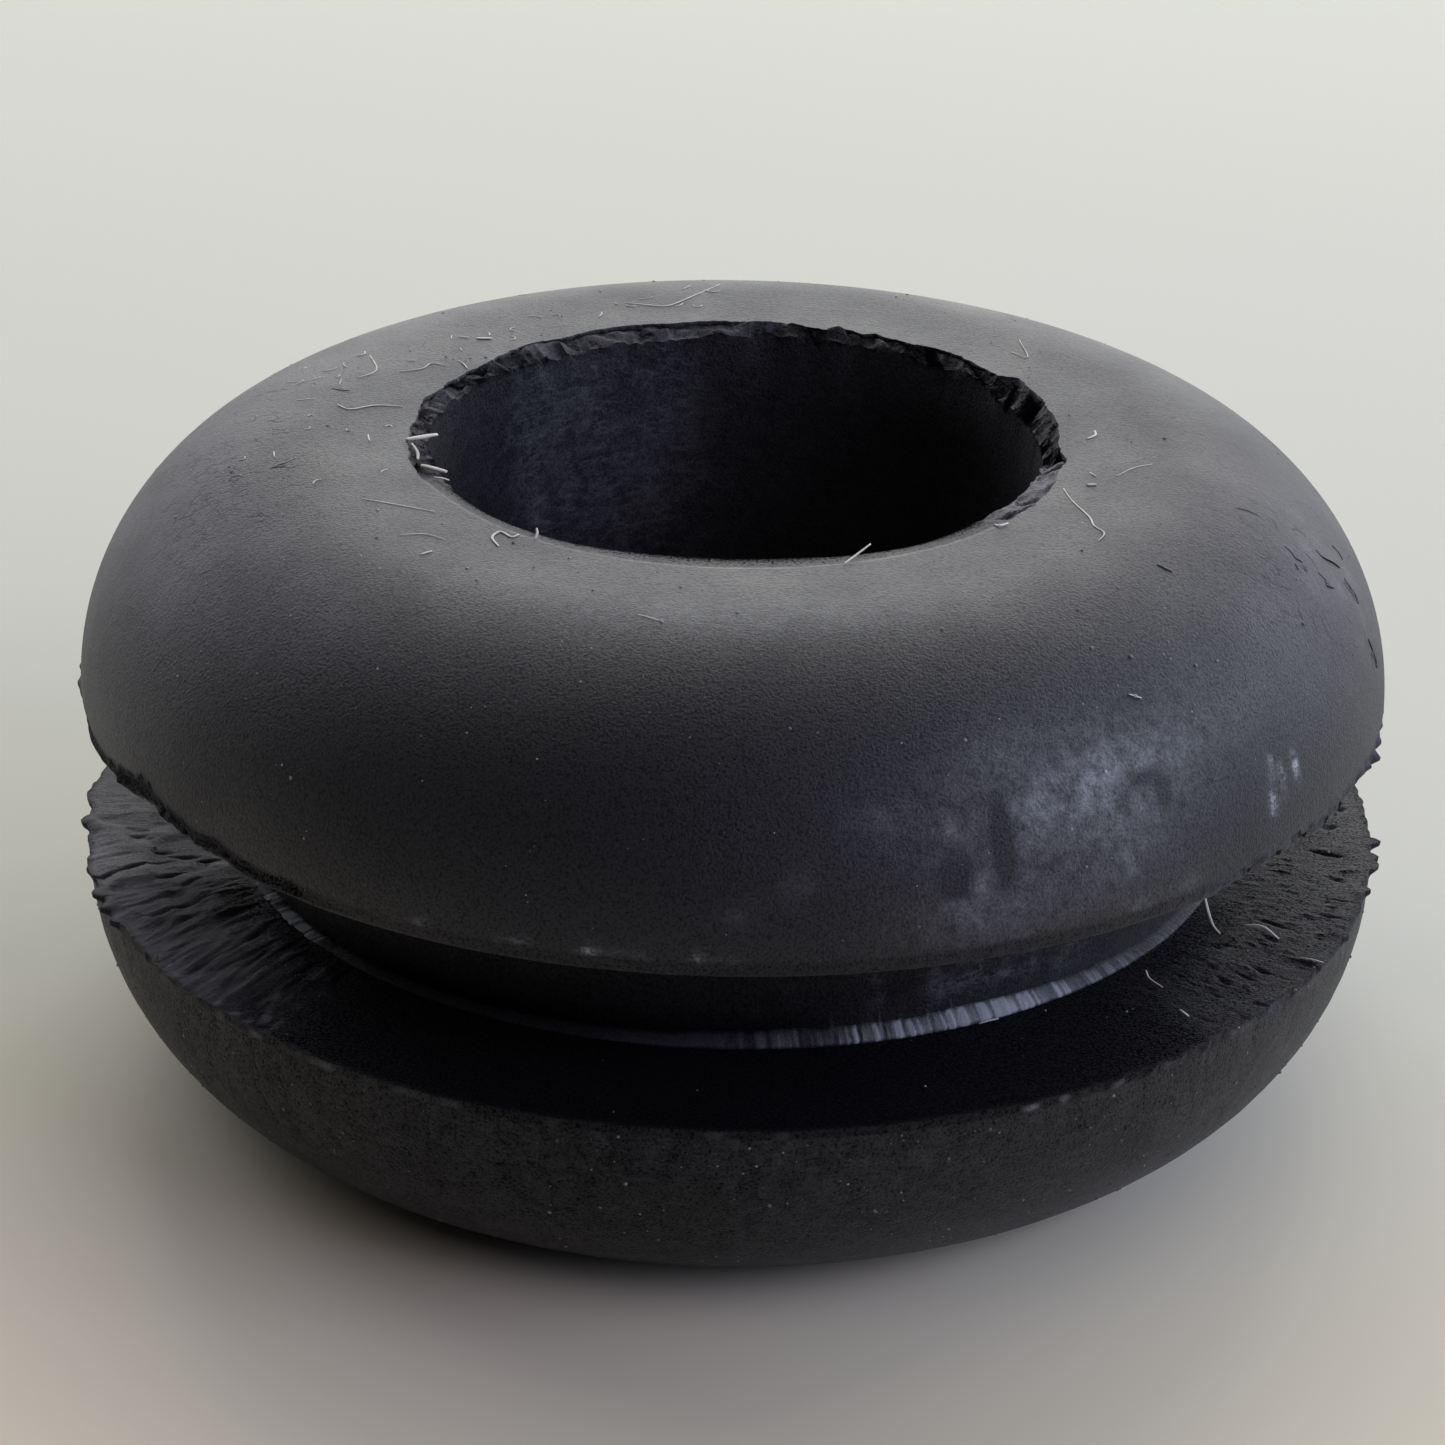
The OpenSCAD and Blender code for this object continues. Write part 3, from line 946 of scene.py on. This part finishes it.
lint = dict(
    thickness=0.026,
    seed=5,
    # threads on the upper flange: (angle, place along the skin) for each bend, then thickness
    threads=[
        ([(108, 7.55), (104, 7.26), (101.4, 7.21), (97.4, 7.67), (92.8, 8.5)], 0.7),
        ([(136.6, 7.2), (134.8, 6.98)], 1.6), ([(138.1, 7.53), (137.1, 7.35)], 0.7),
        ([(151.7, 8.25), (156.5, 7.71), (160.4, 7.86)], 0.6),
        ([(155.4, 7.26), (152.6, 6.97), (149.8, 6.97), (149.4, 6.67)], 0.75),
        ([(171.1, 7.76), (172.6, 7.47), (170.3, 7.04), (169.8, 6.5)], 0.9),
        ([(146.2, 6.63), (147.1, 6.42), (148.5, 6.22)], 0.7), ([(150.9, 7.47), (150.1, 7.32)], 0.7),
        ([(227.1, 8.15), (227.4, 7.92)], 0.9), ([(258.9, 8.5), (260.2, 8.55), (261.8, 8.64)], 0.4),
        ([(207, 7.64), (210.4, 7.27), (216.6, 6.76)], 0.6),
        ([(338.4, 6.48), (334.2, 6.83), (329.9, 7.41), (327.5, 7.67), (326.1, 7.99), (323.3, 8.1)], 0.6),
        ([(341.3, 6.83), (341.9, 6.99)], 1.7), ([(0.9, 6.62), (2.6, 6.8), (4.6, 6.82)], 0.9),
        ([(41, 7.19), (37.8, 7.26), (43.9, 7.8)], 0.5), ([(308.2, 11.33), (309.3, 11.47)], 1),
        ([(233, 6.97), (230, 6.74), (229.4, 6.45), (232.1, 6.5), (232.4, 6.33)], 1.2),
        ([(346.2, 7.26), (350, 7.52), (351.9, 7.84)], 0.4), ([(346.5, 6.75), (345.2, 6.9)], 0.6),
        ([(226, 7.4), (222.5, 7.5), (220.5, 7.9)], 0.5), ([(161, 8.6), (162.6, 8.9), (161.8, 9.3)], 0.45),
    ],
    # threads at the mouth: (angle, radius, lift above the top) for each bend, then thickness
    mouthThreads=[
        ([(185.5, 6.24, 0.03), (184.6, 5.98, 0.03), (182.4, 5.66, 0)], 2.6),
        ([(187.5, 6.14, 0.03), (190, 6.06, -0.04), (193.4, 6.1, -0.04)], 1.3),
        ([(197.6, 6.12, 0.02), (199.1, 5.96, 0.01), (200.7, 5.72, -0.03)], 2.6),
        ([(203, 6.05, 0), (203.6, 5.9, -0.02), (204, 5.78, -0.06)], 1),
        ([(235.8, 6.33, 0.02), (235.3, 6.2, 0.08), (234.6, 6.12, 0.13)], 0.9),
        ([(287.6, 6.38, 0.02), (290.2, 6.22, 0.09), (293.4, 6.05, 0.18)], 1),
        ([(318.6, 6.24, 0), (318.2, 6.38, 0.03), (320, 6.42, 0.03)], 1.1),
    ],
    # threads on the groove's lower face: (angle, radius, lift), then thickness
    faceThreads=[
        ([(337.4, 9.7, 0.3), (334.9, 9.9, 0.2), (332.3, 10.21, 0.06), (331.1, 10.46, 0.02)], 1.2),
        ([(333.7, 10.73, 0.05), (333.9, 11.09, 0.1), (332.9, 11.5, 0.03)], 1.1),
        ([(319.5, 10.08, 0.03), (318.2, 10.33, 0.05), (317.8, 10.69, 0.03)], 0.8),
        ([(315.6, 11.42, 0.03), (315.2, 11.69, 0.03)], 1.1),
        ([(330.5, 12.1, 0.04), (330.6, 12.35, 0.06), (330.9, 12.55, 0.02)], 0.6),
        ([(297.6, 9.74, 0.02), (298.8, 9.75, 0.04), (300, 9.74, 0.02)], 1.1),
    ],
    lying=0.5,  # how high the threads lie, in thicknesses
    strayLying=0.3,
    strayCount=36,
    strayTurns=(95, 200),  # most loose fibres lie on this side
    strayPlaces=(6.6, 9.5),
    strayLengths=(0.03, 0.12),  # between two bends
    strayCurls=(-1.2, 1.2),
    strayThickness=(0.4, 0.8),
)


def makeLint():
    verts, faces = [], []
    size = lint["thickness"]
    pick = np.random.RandomState(lint["seed"])
    for bends, thick in lint["threads"]:
        path = [skinSpot(*bend, size * lint["lying"])[0] for bend in bends]
        addThread(verts, faces, smoothPath(path), size * thick)
    for bends, thick in lint["mouthThreads"]:
        path = [polar(turn, radius, top + lift) for turn, radius, lift in bends]
        addThread(verts, faces, smoothPath(path), size * thick, 0.5)
    for bends, thick in lint["faceThreads"]:
        addThread(verts, faces, smoothPath([faceSpot(*bend)[0] for bend in bends]), size * thick)
    for _ in range(lint["strayCount"]):
        turn, place = pick.uniform(*lint["strayTurns"]), pick.uniform(*lint["strayPlaces"])
        heading, length = pick.uniform(0, 6.28), pick.uniform(*lint["strayLengths"])
        curl = pick.uniform(*lint["strayCurls"])
        bends = [(turn, place)]
        for k in range(3):
            turn += math.degrees(math.cos(heading + curl * k) * length / place)
            place += math.sin(heading + curl * k) * length
            bends.append((turn, place))
        path = smoothPath([skinSpot(*bend, size * lint["strayLying"])[0] for bend in bends], 4)
        addThread(verts, faces, path, size * pick.uniform(*lint["strayThickness"]))
    piece = makePiece("lint", verts, faces)
    piece.data.shade_smooth()
    return piece


burrs = dict(
    thickness=0.032,
    flat=0.25,  # height for width
    dull=0.05,
    # rolled shreds of rubber on the upper flange: (angle, place) for each bend, then thickness
    paths=[
        ([(343.7, 10.68), (343.6, 10.82), (343.3, 10.95), (343.7, 11.12)], 1.3),
        ([(342.1, 11), (341.6, 11.12)], 1.1),
        ([(348.5, 11.3), (348.6, 11.5), (349.7, 11.74), (350.5, 11.97)], 1.4),
        ([(353.3, 11.7), (353.5, 11.86), (352.9, 12.02)], 1),
        ([(344.8, 11.5), (344.9, 11.67), (344.3, 11.77), (345.4, 11.94)], 1.2),
        ([(349.5, 12.13), (349.7, 12.44), (349, 12.67)], 1.1),
        ([(347.1, 13.24), (347.3, 13.54), (346.9, 13.83)], 1.5),
        ([(324.6, 9.24), (324.8, 9.39), (325, 9.54)], 1.9),
        ([(345.4, 9.57), (346.1, 9.79), (346.4, 10)], 0.9),
        ([(192, 8.8), (191.4, 8.66), (191.3, 8.56), (190.3, 8.32)], 1.2),
        ([(165, 8.12), (165.4, 7.92), (165.2, 7.74)], 1.2),
    ],
)


def makeBurrs():
    verts, faces = [], []
    for bends, thick in burrs["paths"]:
        path = smoothPath([skinSpot(*bend)[0] for bend in bends])
        addThread(verts, faces, path, burrs["thickness"] * thick, burrs["flat"])
    piece = makePiece("burrs", verts, faces)
    piece.data.shade_smooth()
    matteAndShade = piece.data.attributes.new("matteAndShade", "FLOAT", "POINT")
    matteAndShade.data.foreach_set("value", [burrs["dull"]] * len(verts))
    return piece


crumbs = dict(size=0.024, height=0.8)  # the height is for a width of 1
dust = dict(
    seed=9,
    # specks big enough to place: (angle, place along the skin, size), then (angle, radius, size)
    placed=[
        (145.9, 6.96, 1.3), (143.8, 6.54, 1), (141.8, 6.34, 1.6), (119.5, 7.31, 1.1), (234.3, 8.05, 1.5),
        (237.3, 8.32, 1.3), (214.2, 9.76, 1), (222, 10.6, 1), (261.8, 8.64, 1.8), (265.6, 7.3, 1),
        (255.3, 9.55, 1), (255.4, 10.3, 1), (231.3, 13.2, 1.7), (230, 13.05, 1), (208.5, 11, 1.3),
        (209.3, 12.6, 1.4), (213.5, 12.6, 1.5), (211.7, 7.6, 1.4), (1.6, 8.1, 1.8), (333.6, 8.6, 1),
        (333.8, 10.1, 1.2), (339.9, 11.2, 1.5), (335, 11.8, 2), (310.9, 10.7, 2), (307.4, 10.3, 1.5),
        (317.3, 11.3, 1.6), (320.1, 11.4, 1.3), (319.5, 10.8, 1.2), (319.1, 10.1, 1), (316.6, 9.3, 1.2),
        (319.7, 8.1, 1.3), (308.8, 11.4, 2), (341, 13, 1.2), (302.8, 12.5, 1.8), (298.5, 13.3, 1.4),
        (299.4, 14, 1.3), (275.2, 11, 1.4), (217, 8.8, 1), (246.5, 11.6, 1),
    ],
    facePlaced=[
        (329.3, 11.17, 1.6), (325.4, 12.55, 1.4), (316.9, 12.55, 1.2), (305.4, 9.9, 1), (311.8, 10.8, 1),
        (287.8, 11.4, 1.1),
    ],
    # loose specks: where, count, angles, places, their crowding, sizes, their rarity
    loose=[
        (skinSpot, 620, (0, 360), (6.5, 15.1), 0.8, (0.3, 0.8), 3),
        (skinSpot, 90, (0, 360), (6.5, 12.5), 1.5, (0.8, 1.7), 2),
    ],
)
grit = dict(
    seed=14,
    loose=[
        (lowSpot, 380, (0, 360), (10, 15.05), 1, (0.35, 0.85), 3),
        (lowSpot, 170, (180, 350), (11, 15.08), 1, (0.8, 1.9), 2),
        (faceSpot, 110, (0, 360), (9.8, 12.4), 1, (0.35, 0.85), 2),
        (lowSpot, 90, (184, 330), (15.1, 13.9), 2, (0.35, 1.45), 3),
    ],
    tornCount=90,  # crumbs on the two torn stretches
    tornTurns=[(184, 224), (316, 360)],
    tornPlaces=(10.4, 12.5),
    tornSizes=(0.5, 1.4),
)


def between(pick, limits, power=1):
    # a random value, more often near the first limit when power is above 1
    return limits[0] + (limits[1] - limits[0]) * pick.uniform() ** power


def looseSpots(pick, rows):
    spots = []
    for where, count, turns, places, crowding, sizes, rarity in rows:
        for _ in range(count):
            spot = where(pick.uniform(*turns), between(pick, places, crowding))
            spots.append((spot, between(pick, sizes, rarity)))
    return spots


def makeCrumbs(name, spots, pick):
    verts, faces = [], []
    for (spot, out), size in spots:
        wide = size * crumbs["size"]
        addCrumb(verts, faces, spot, out, wide, wide * crumbs["height"], pick)
    return makePiece(name, verts, faces)


def makeDust():
    pick = np.random.RandomState(dust["seed"])
    spots = [(skinSpot(turn, place), size) for turn, place, size in dust["placed"]]
    spots += [(faceSpot(turn, radius), size) for turn, radius, size in dust["facePlaced"]]
    return makeCrumbs("dust", spots + looseSpots(pick, dust["loose"]), pick)


def makeGrit():
    pick = np.random.RandomState(grit["seed"])
    spots = looseSpots(pick, grit["loose"])
    for _ in range(grit["tornCount"]):
        turn = pick.choice([pick.uniform(*turns) for turns in grit["tornTurns"]])
        spot = faceSpot(turn, pick.uniform(*grit["tornPlaces"]))
        spots.append((spot, between(pick, grit["tornSizes"], 2)))
    return makeCrumbs("grit", spots, pick)


lintPiece, dustPiece, gritPiece, burrsPiece = makeLint(), makeDust(), makeGrit(), makeBurrs()
for piece in (lintPiece, dustPiece, gritPiece, burrsPiece):
    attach(piece, "root")
print("lint and dust made")


def newMaterial(name):
    material = bpy.data.materials.new(name)
    material.use_nodes = True
    tree = material.node_tree
    return material, tree, tree.nodes["Principled BSDF"]


def plug(tree, socket, value):
    # value is a plain value or another node's output
    if isinstance(value, bpy.types.NodeSocket):
        tree.links.new(value, socket)
    else:
        socket.default_value = value


def addNode(tree, kind, settings=None, **inputs):
    made = tree.nodes.new("ShaderNode" + kind)
    for name, value in (settings or {}).items():
        setattr(made, name, value)
    for name, value in inputs.items():
        plug(tree, made.inputs[name.replace("_", " ")], value)
    return made


def mixColour(tree, factor, first, second):
    mix = addNode(tree, "Mix", dict(data_type="RGBA"))
    for number, value in ((0, factor), (6, first), (7, second)):
        plug(tree, mix.inputs[number], value)
    return mix.outputs[2]


def sums(tree, operation, first, second, clamp=False):
    made = addNode(tree, "Math", dict(operation=operation, use_clamp=clamp))
    plug(tree, made.inputs[0], first)
    plug(tree, made.inputs[1], second)
    return made.outputs[0]


def times(tree, first, second, clamp=False):
    return sums(tree, "MULTIPLY", first, second, clamp)


def plus(tree, first, second, clamp=False):
    return sums(tree, "ADD", first, second, clamp)


def spread(tree, value, low, high, newLow=0.0, newHigh=1.0):
    return addNode(tree, "MapRange", Value=value, From_Min=low, From_Max=high,
                   To_Min=newLow, To_Max=newHigh).outputs[0]


def fromMiddle(tree, value):
    # how far a noise is from its middle value
    return sums(tree, "ABSOLUTE", sums(tree, "SUBTRACT", value, 0.5), 0)


def noise(tree, place, scale, detail, roughness=0.6):
    made = addNode(tree, "TexNoise", Vector=place, Scale=scale, Detail=detail, Roughness=roughness)
    return made.outputs["Fac"]


def bump(tree, height, distance, normal=None, invert=False):
    made = addNode(tree, "Bump", dict(invert=invert), Height=height, Strength=1.0, Distance=distance * mm)
    if normal:
        tree.links.new(normal, made.inputs["Normal"])
    return made.outputs[0]


rubber = dict(
    dark=(0.0046, 0.0042, 0.0056, 1),
    light=(0.0090, 0.0084, 0.0106, 1),
    torn=(0.075, 0.075, 0.088, 1),
    dustAndHighlight=(0.365, 0.385, 0.402, 1),
    scuff=(0.002, 0.002, 0.003, 1),
    deep=(0.0020, 0.0020, 0.0030, 1),  # dull, clean rubber, and the colour of painted shade where the matte mark stands for shade
    roughness=(0.48, 0.61),
    tornRoughness=0.12,
    sheen=0.10,  # the soft light edge of dusty rubber
    sheenRoughness=0.4,
    shine=(0.55, 0.0),  # moulded and dull rubber
    # noises: scale, detail and, for some, roughness
    grain=(19000, 3, 0.65),
    cloud=(420, 6),
    lumps=(3600, 5, 0.7),
    blotch=(2600, 6, 0.72),
    combing=(20, 6, 0.75),
    wander=(2100, 2, 0.5),  # the run of the fine cracks
    gaps=(900, 2),  # and where they stop
    scratches=(1500, 3, 0.6),
    upright=(1, 1, 0.35),  # how the cracks and scratches are drawn out
    lying=(0.5, 0.5, 1.6),
    # depths of relief in millimetres
    grainDepth=0.022,
    lumpDepth=0.012,
    tornDepth=0.044,
    crackDepth=0.02,
)


def makeRubber():
    material, tree, shader = newMaterial("blackRubber")
    place = addNode(tree, "TexCoord").outputs["Object"]
    torn, scuffed, dustAndHighlight, hazy, matteAndShade, chalkAndHighlight = (
        addNode(tree, "Attribute", dict(attribute_name=n)).outputs["Fac"] for n in wearNames)
    streak = addNode(tree, "Attribute", dict(attribute_name="streak")).outputs["Vector"]
    tall = addNode(tree, "Mapping", Vector=place, Scale=rubber["upright"]).outputs[0]
    wide = addNode(tree, "Mapping", Vector=place, Scale=rubber["lying"]).outputs[0]
    grain, cloud, lumps, blotch = (
        noise(tree, place, *rubber[n]) for n in ("grain", "cloud", "lumps", "blotch"))

    def grained(low, high):
        return spread(tree, grain, 0.3, 0.7, low, high)

    # clean, torn and dull rubber; the dull mix also darkens it as painted shade
    shade = times(tree, spread(tree, cloud, 0.3, 0.7), 0.5)
    shade = plus(tree, shade, spread(tree, grain, 0.35, 0.65, -0.3, 0.8))
    colour = mixColour(tree, shade, rubber["dark"], rubber["light"])
    tornShare = times(tree, torn, spread(tree, blotch, 0.35, 0.65, 0.3, 1), True)
    colour = mixColour(tree, tornShare, colour, rubber["torn"])
    colour = mixColour(tree, times(tree, matteAndShade, 0.85, True), colour, rubber["deep"])

    # a film of dust with fine scratches, haze and chalk, which also paints pale highlights
    scratched = fromMiddle(tree, noise(tree, wide, *rubber["scratches"]))
    scratched = spread(tree, scratched, 0.008, 0.03, 1.2, 0)
    patchy = times(tree, spread(tree, blotch, 0.4, 0.62, 0, 1.8), grained(0.5, 1.5))
    soft = times(tree, spread(tree, lumps, 0.32, 0.68, 0.15, 1.7), grained(0.7, 1.3))
    film = times(tree, dustAndHighlight, plus(tree, patchy, scratched))
    film = plus(tree, film, times(tree, hazy, soft))
    film = plus(tree, film, times(tree, chalkAndHighlight, grained(0.8, 1.2)), True)
    colour = mixColour(tree, film, colour, rubber["dustAndHighlight"])

    # fine dark cracks where it is scuffed
    cracks = spread(tree, fromMiddle(tree, noise(tree, tall, *rubber["wander"])), 0.015, 0.045, 1, 0)
    cracks = times(tree, cracks, spread(tree, noise(tree, tall, *rubber["gaps"]), 0.46, 0.52))
    cracks = times(tree, scuffed, cracks, True)
    colour = mixColour(tree, cracks, colour, rubber["scuff"])

    gloss = spread(tree, cloud, 0.3, 0.7, *rubber["roughness"])
    gloss = plus(tree, gloss, times(tree, torn, rubber["tornRoughness"]))
    dull = plus(tree, matteAndShade, spread(tree, grain, 0.54, 0.32, 0, 0.6), True)
    dull = plus(tree, dull, cracks, True)
    combing = times(tree, noise(tree, streak, *rubber["combing"]), torn)
    relief = bump(tree, grain, rubber["grainDepth"])
    relief = bump(tree, lumps, rubber["lumpDepth"], relief)
    relief = bump(tree, combing, rubber["tornDepth"], relief)
    relief = bump(tree, cracks, rubber["crackDepth"], relief, True)
    plug(tree, shader.inputs["Base Color"], colour)
    plug(tree, shader.inputs["Roughness"], gloss)
    plug(tree, shader.inputs["Sheen Weight"], spread(tree, matteAndShade, 0, 1, rubber["sheen"], 0))
    plug(tree, shader.inputs["Sheen Roughness"], rubber["sheenRoughness"])
    plug(tree, shader.inputs["Specular IOR Level"], spread(tree, dull, 0, 1, *rubber["shine"]))
    plug(tree, shader.inputs["Normal"], relief)
    return material


specks = dict(
    # darkest and lightest colour of each
    lintFibre=((0.46, 0.44, 0.38, 1), (0.80, 0.77, 0.68, 1)),
    paleDust=((0.12, 0.12, 0.13, 1), (0.50, 0.50, 0.49, 1)),
    greyGrit=((0.05, 0.05, 0.05, 1), (0.26, 0.25, 0.24, 1)),
)


def makeSpeck(name):
    material, tree, shader = newMaterial(name)
    place = addNode(tree, "TexCoord").outputs["Object"]
    tint = spread(tree, noise(tree, place, 900, 3), 0.35, 0.65)
    plug(tree, shader.inputs["Base Color"], mixColour(tree, tint, *specks[name]))
    shader.inputs["Roughness"].default_value = 0.8
    return material


rubberFinish = makeRubber()
grommetBody.data.materials.append(rubberFinish)
burrsPiece.data.materials.append(rubberFinish)
for piece, finish in ((lintPiece, "lintFibre"), (dustPiece, "paleDust"), (gritPiece, "greyGrit")):
    piece.data.materials.append(makeSpeck(finish))
print("finishes made")


stage = dict(
    reach=3000,
    near=(0.89, 0.82, 0.61, 1),  # floor colour in front, painted lighter and warmer than the far floor to lift the shade it lies in
    far=(0.625, 0.625, 0.53, 1),
    fade=(-17, 2),
    shade=(0.38, 0.375, 0.395, 1),  # painted shadow further forward still, where whoever is looking would shade the floor
    shadeFade=(-34, -17),
    roughness=0.9,
    shine=0.2,
    worldColour=(0.9, 0.9, 1, 1),
    worldStrength=0.01,
)


def makeFloor():
    reach = stage["reach"] * mm
    mesh = bpy.data.meshes.new("floor")
    corners = [(-reach, -reach, 0), (reach, -reach, 0), (reach, reach, 0), (-reach, reach, 0)]
    mesh.from_pydata(corners, [], [(0, 1, 2, 3)])
    material, tree, shader = newMaterial("paleFloor")
    place = addNode(tree, "TexCoord").outputs["Object"]
    depth = addNode(tree, "SeparateXYZ", Vector=place).outputs["Y"]
    # painted light and shade: lighter in front to lift the lamps' shade there, and a painted shadow further
    # forward
    share, shaded = (spread(tree, depth, *(y * mm for y in stage[n])) for n in ("fade", "shadeFade"))
    colour = mixColour(tree, share, stage["near"], stage["far"])
    plug(tree, shader.inputs["Base Color"], mixColour(tree, shaded, stage["shade"], colour))
    shader.inputs["Roughness"].default_value = stage["roughness"]
    shader.inputs["Specular IOR Level"].default_value = stage["shine"]
    mesh.materials.append(material)
    newObject("floor", mesh)


def makeWorld():
    world = bpy.data.worlds.new("studio")
    world.use_nodes = True
    background = world.node_tree.nodes["Background"]
    background.inputs["Color"].default_value = stage["worldColour"]
    background.inputs["Strength"].default_value = stage["worldStrength"]
    bpy.context.scene.world = world


lamps = dict(
    # angle round, height angle, width, height, watts, colour
    back=(90, 30, 280, 480, 1.24, (1.0, 1.0, 0.97)),
    backRight=(50, 24, 280, 400, 0.94, (0.91, 0.91, 1.0)),
    backLeft=(130, 26, 280, 400, 0.80, (0.89, 0.88, 1.0)),
    right=(10, 20, 280, 280, 0.67, (0.66, 0.79, 1.0)),
    frontRight=(330, 30, 280, 190, 0.70, (0.72, 0.71, 1.0)),
    frontLeft=(240, 55, 280, 190, 0.10, (1.0, 0.85, 0.85)),
)
lampDistance = 400


def makeLamp(name, turn, lift, width, height, watts, colour):
    data = bpy.data.lights.new(name, "AREA")
    data.shape = "RECTANGLE"
    data.size, data.size_y = width * mm, height * mm
    data.energy = watts
    data.color = colour
    lamp = newObject(name, data)
    lift = math.radians(lift)
    away = polar(turn, math.cos(lift), math.sin(lift))
    lamp.location = (Vector((0, 0, top / 2)) + away * lampDistance) * mm
    lamp.rotation_euler = away.to_track_quat("Z", "Y").to_euler()


viewpoint = dict(
    distance=84.39,
    elevation=25.62,
    roll=0.98,
    aim=(-0.18, 0, 6.58),
    lens=107.64,
    clip=(5, 10000),
)


def makeCamera():
    data = bpy.data.cameras.new("camera")
    data.lens = viewpoint["lens"]
    data.clip_start, data.clip_end = (distance * mm for distance in viewpoint["clip"])
    camera = newObject("camera", data)
    lift = math.radians(viewpoint["elevation"])
    back = Vector((0, -math.cos(lift), math.sin(lift)))
    camera.location = (Vector((0, 0, top / 2)) + back * viewpoint["distance"]) * mm
    look = Vector(viewpoint["aim"]) * mm - camera.location
    camera.rotation_mode = "QUATERNION"
    tilt = Quaternion((0, 0, 1), math.radians(viewpoint["roll"]))
    camera.rotation_quaternion = look.to_track_quat("-Z", "Y") @ tilt
    bpy.context.scene.camera = camera


makeFloor()
makeWorld()
for name, settings in lamps.items():
    makeLamp(name, *settings)
makeCamera()
bpy.context.scene.view_settings.view_transform = "Standard"
print("stage made")
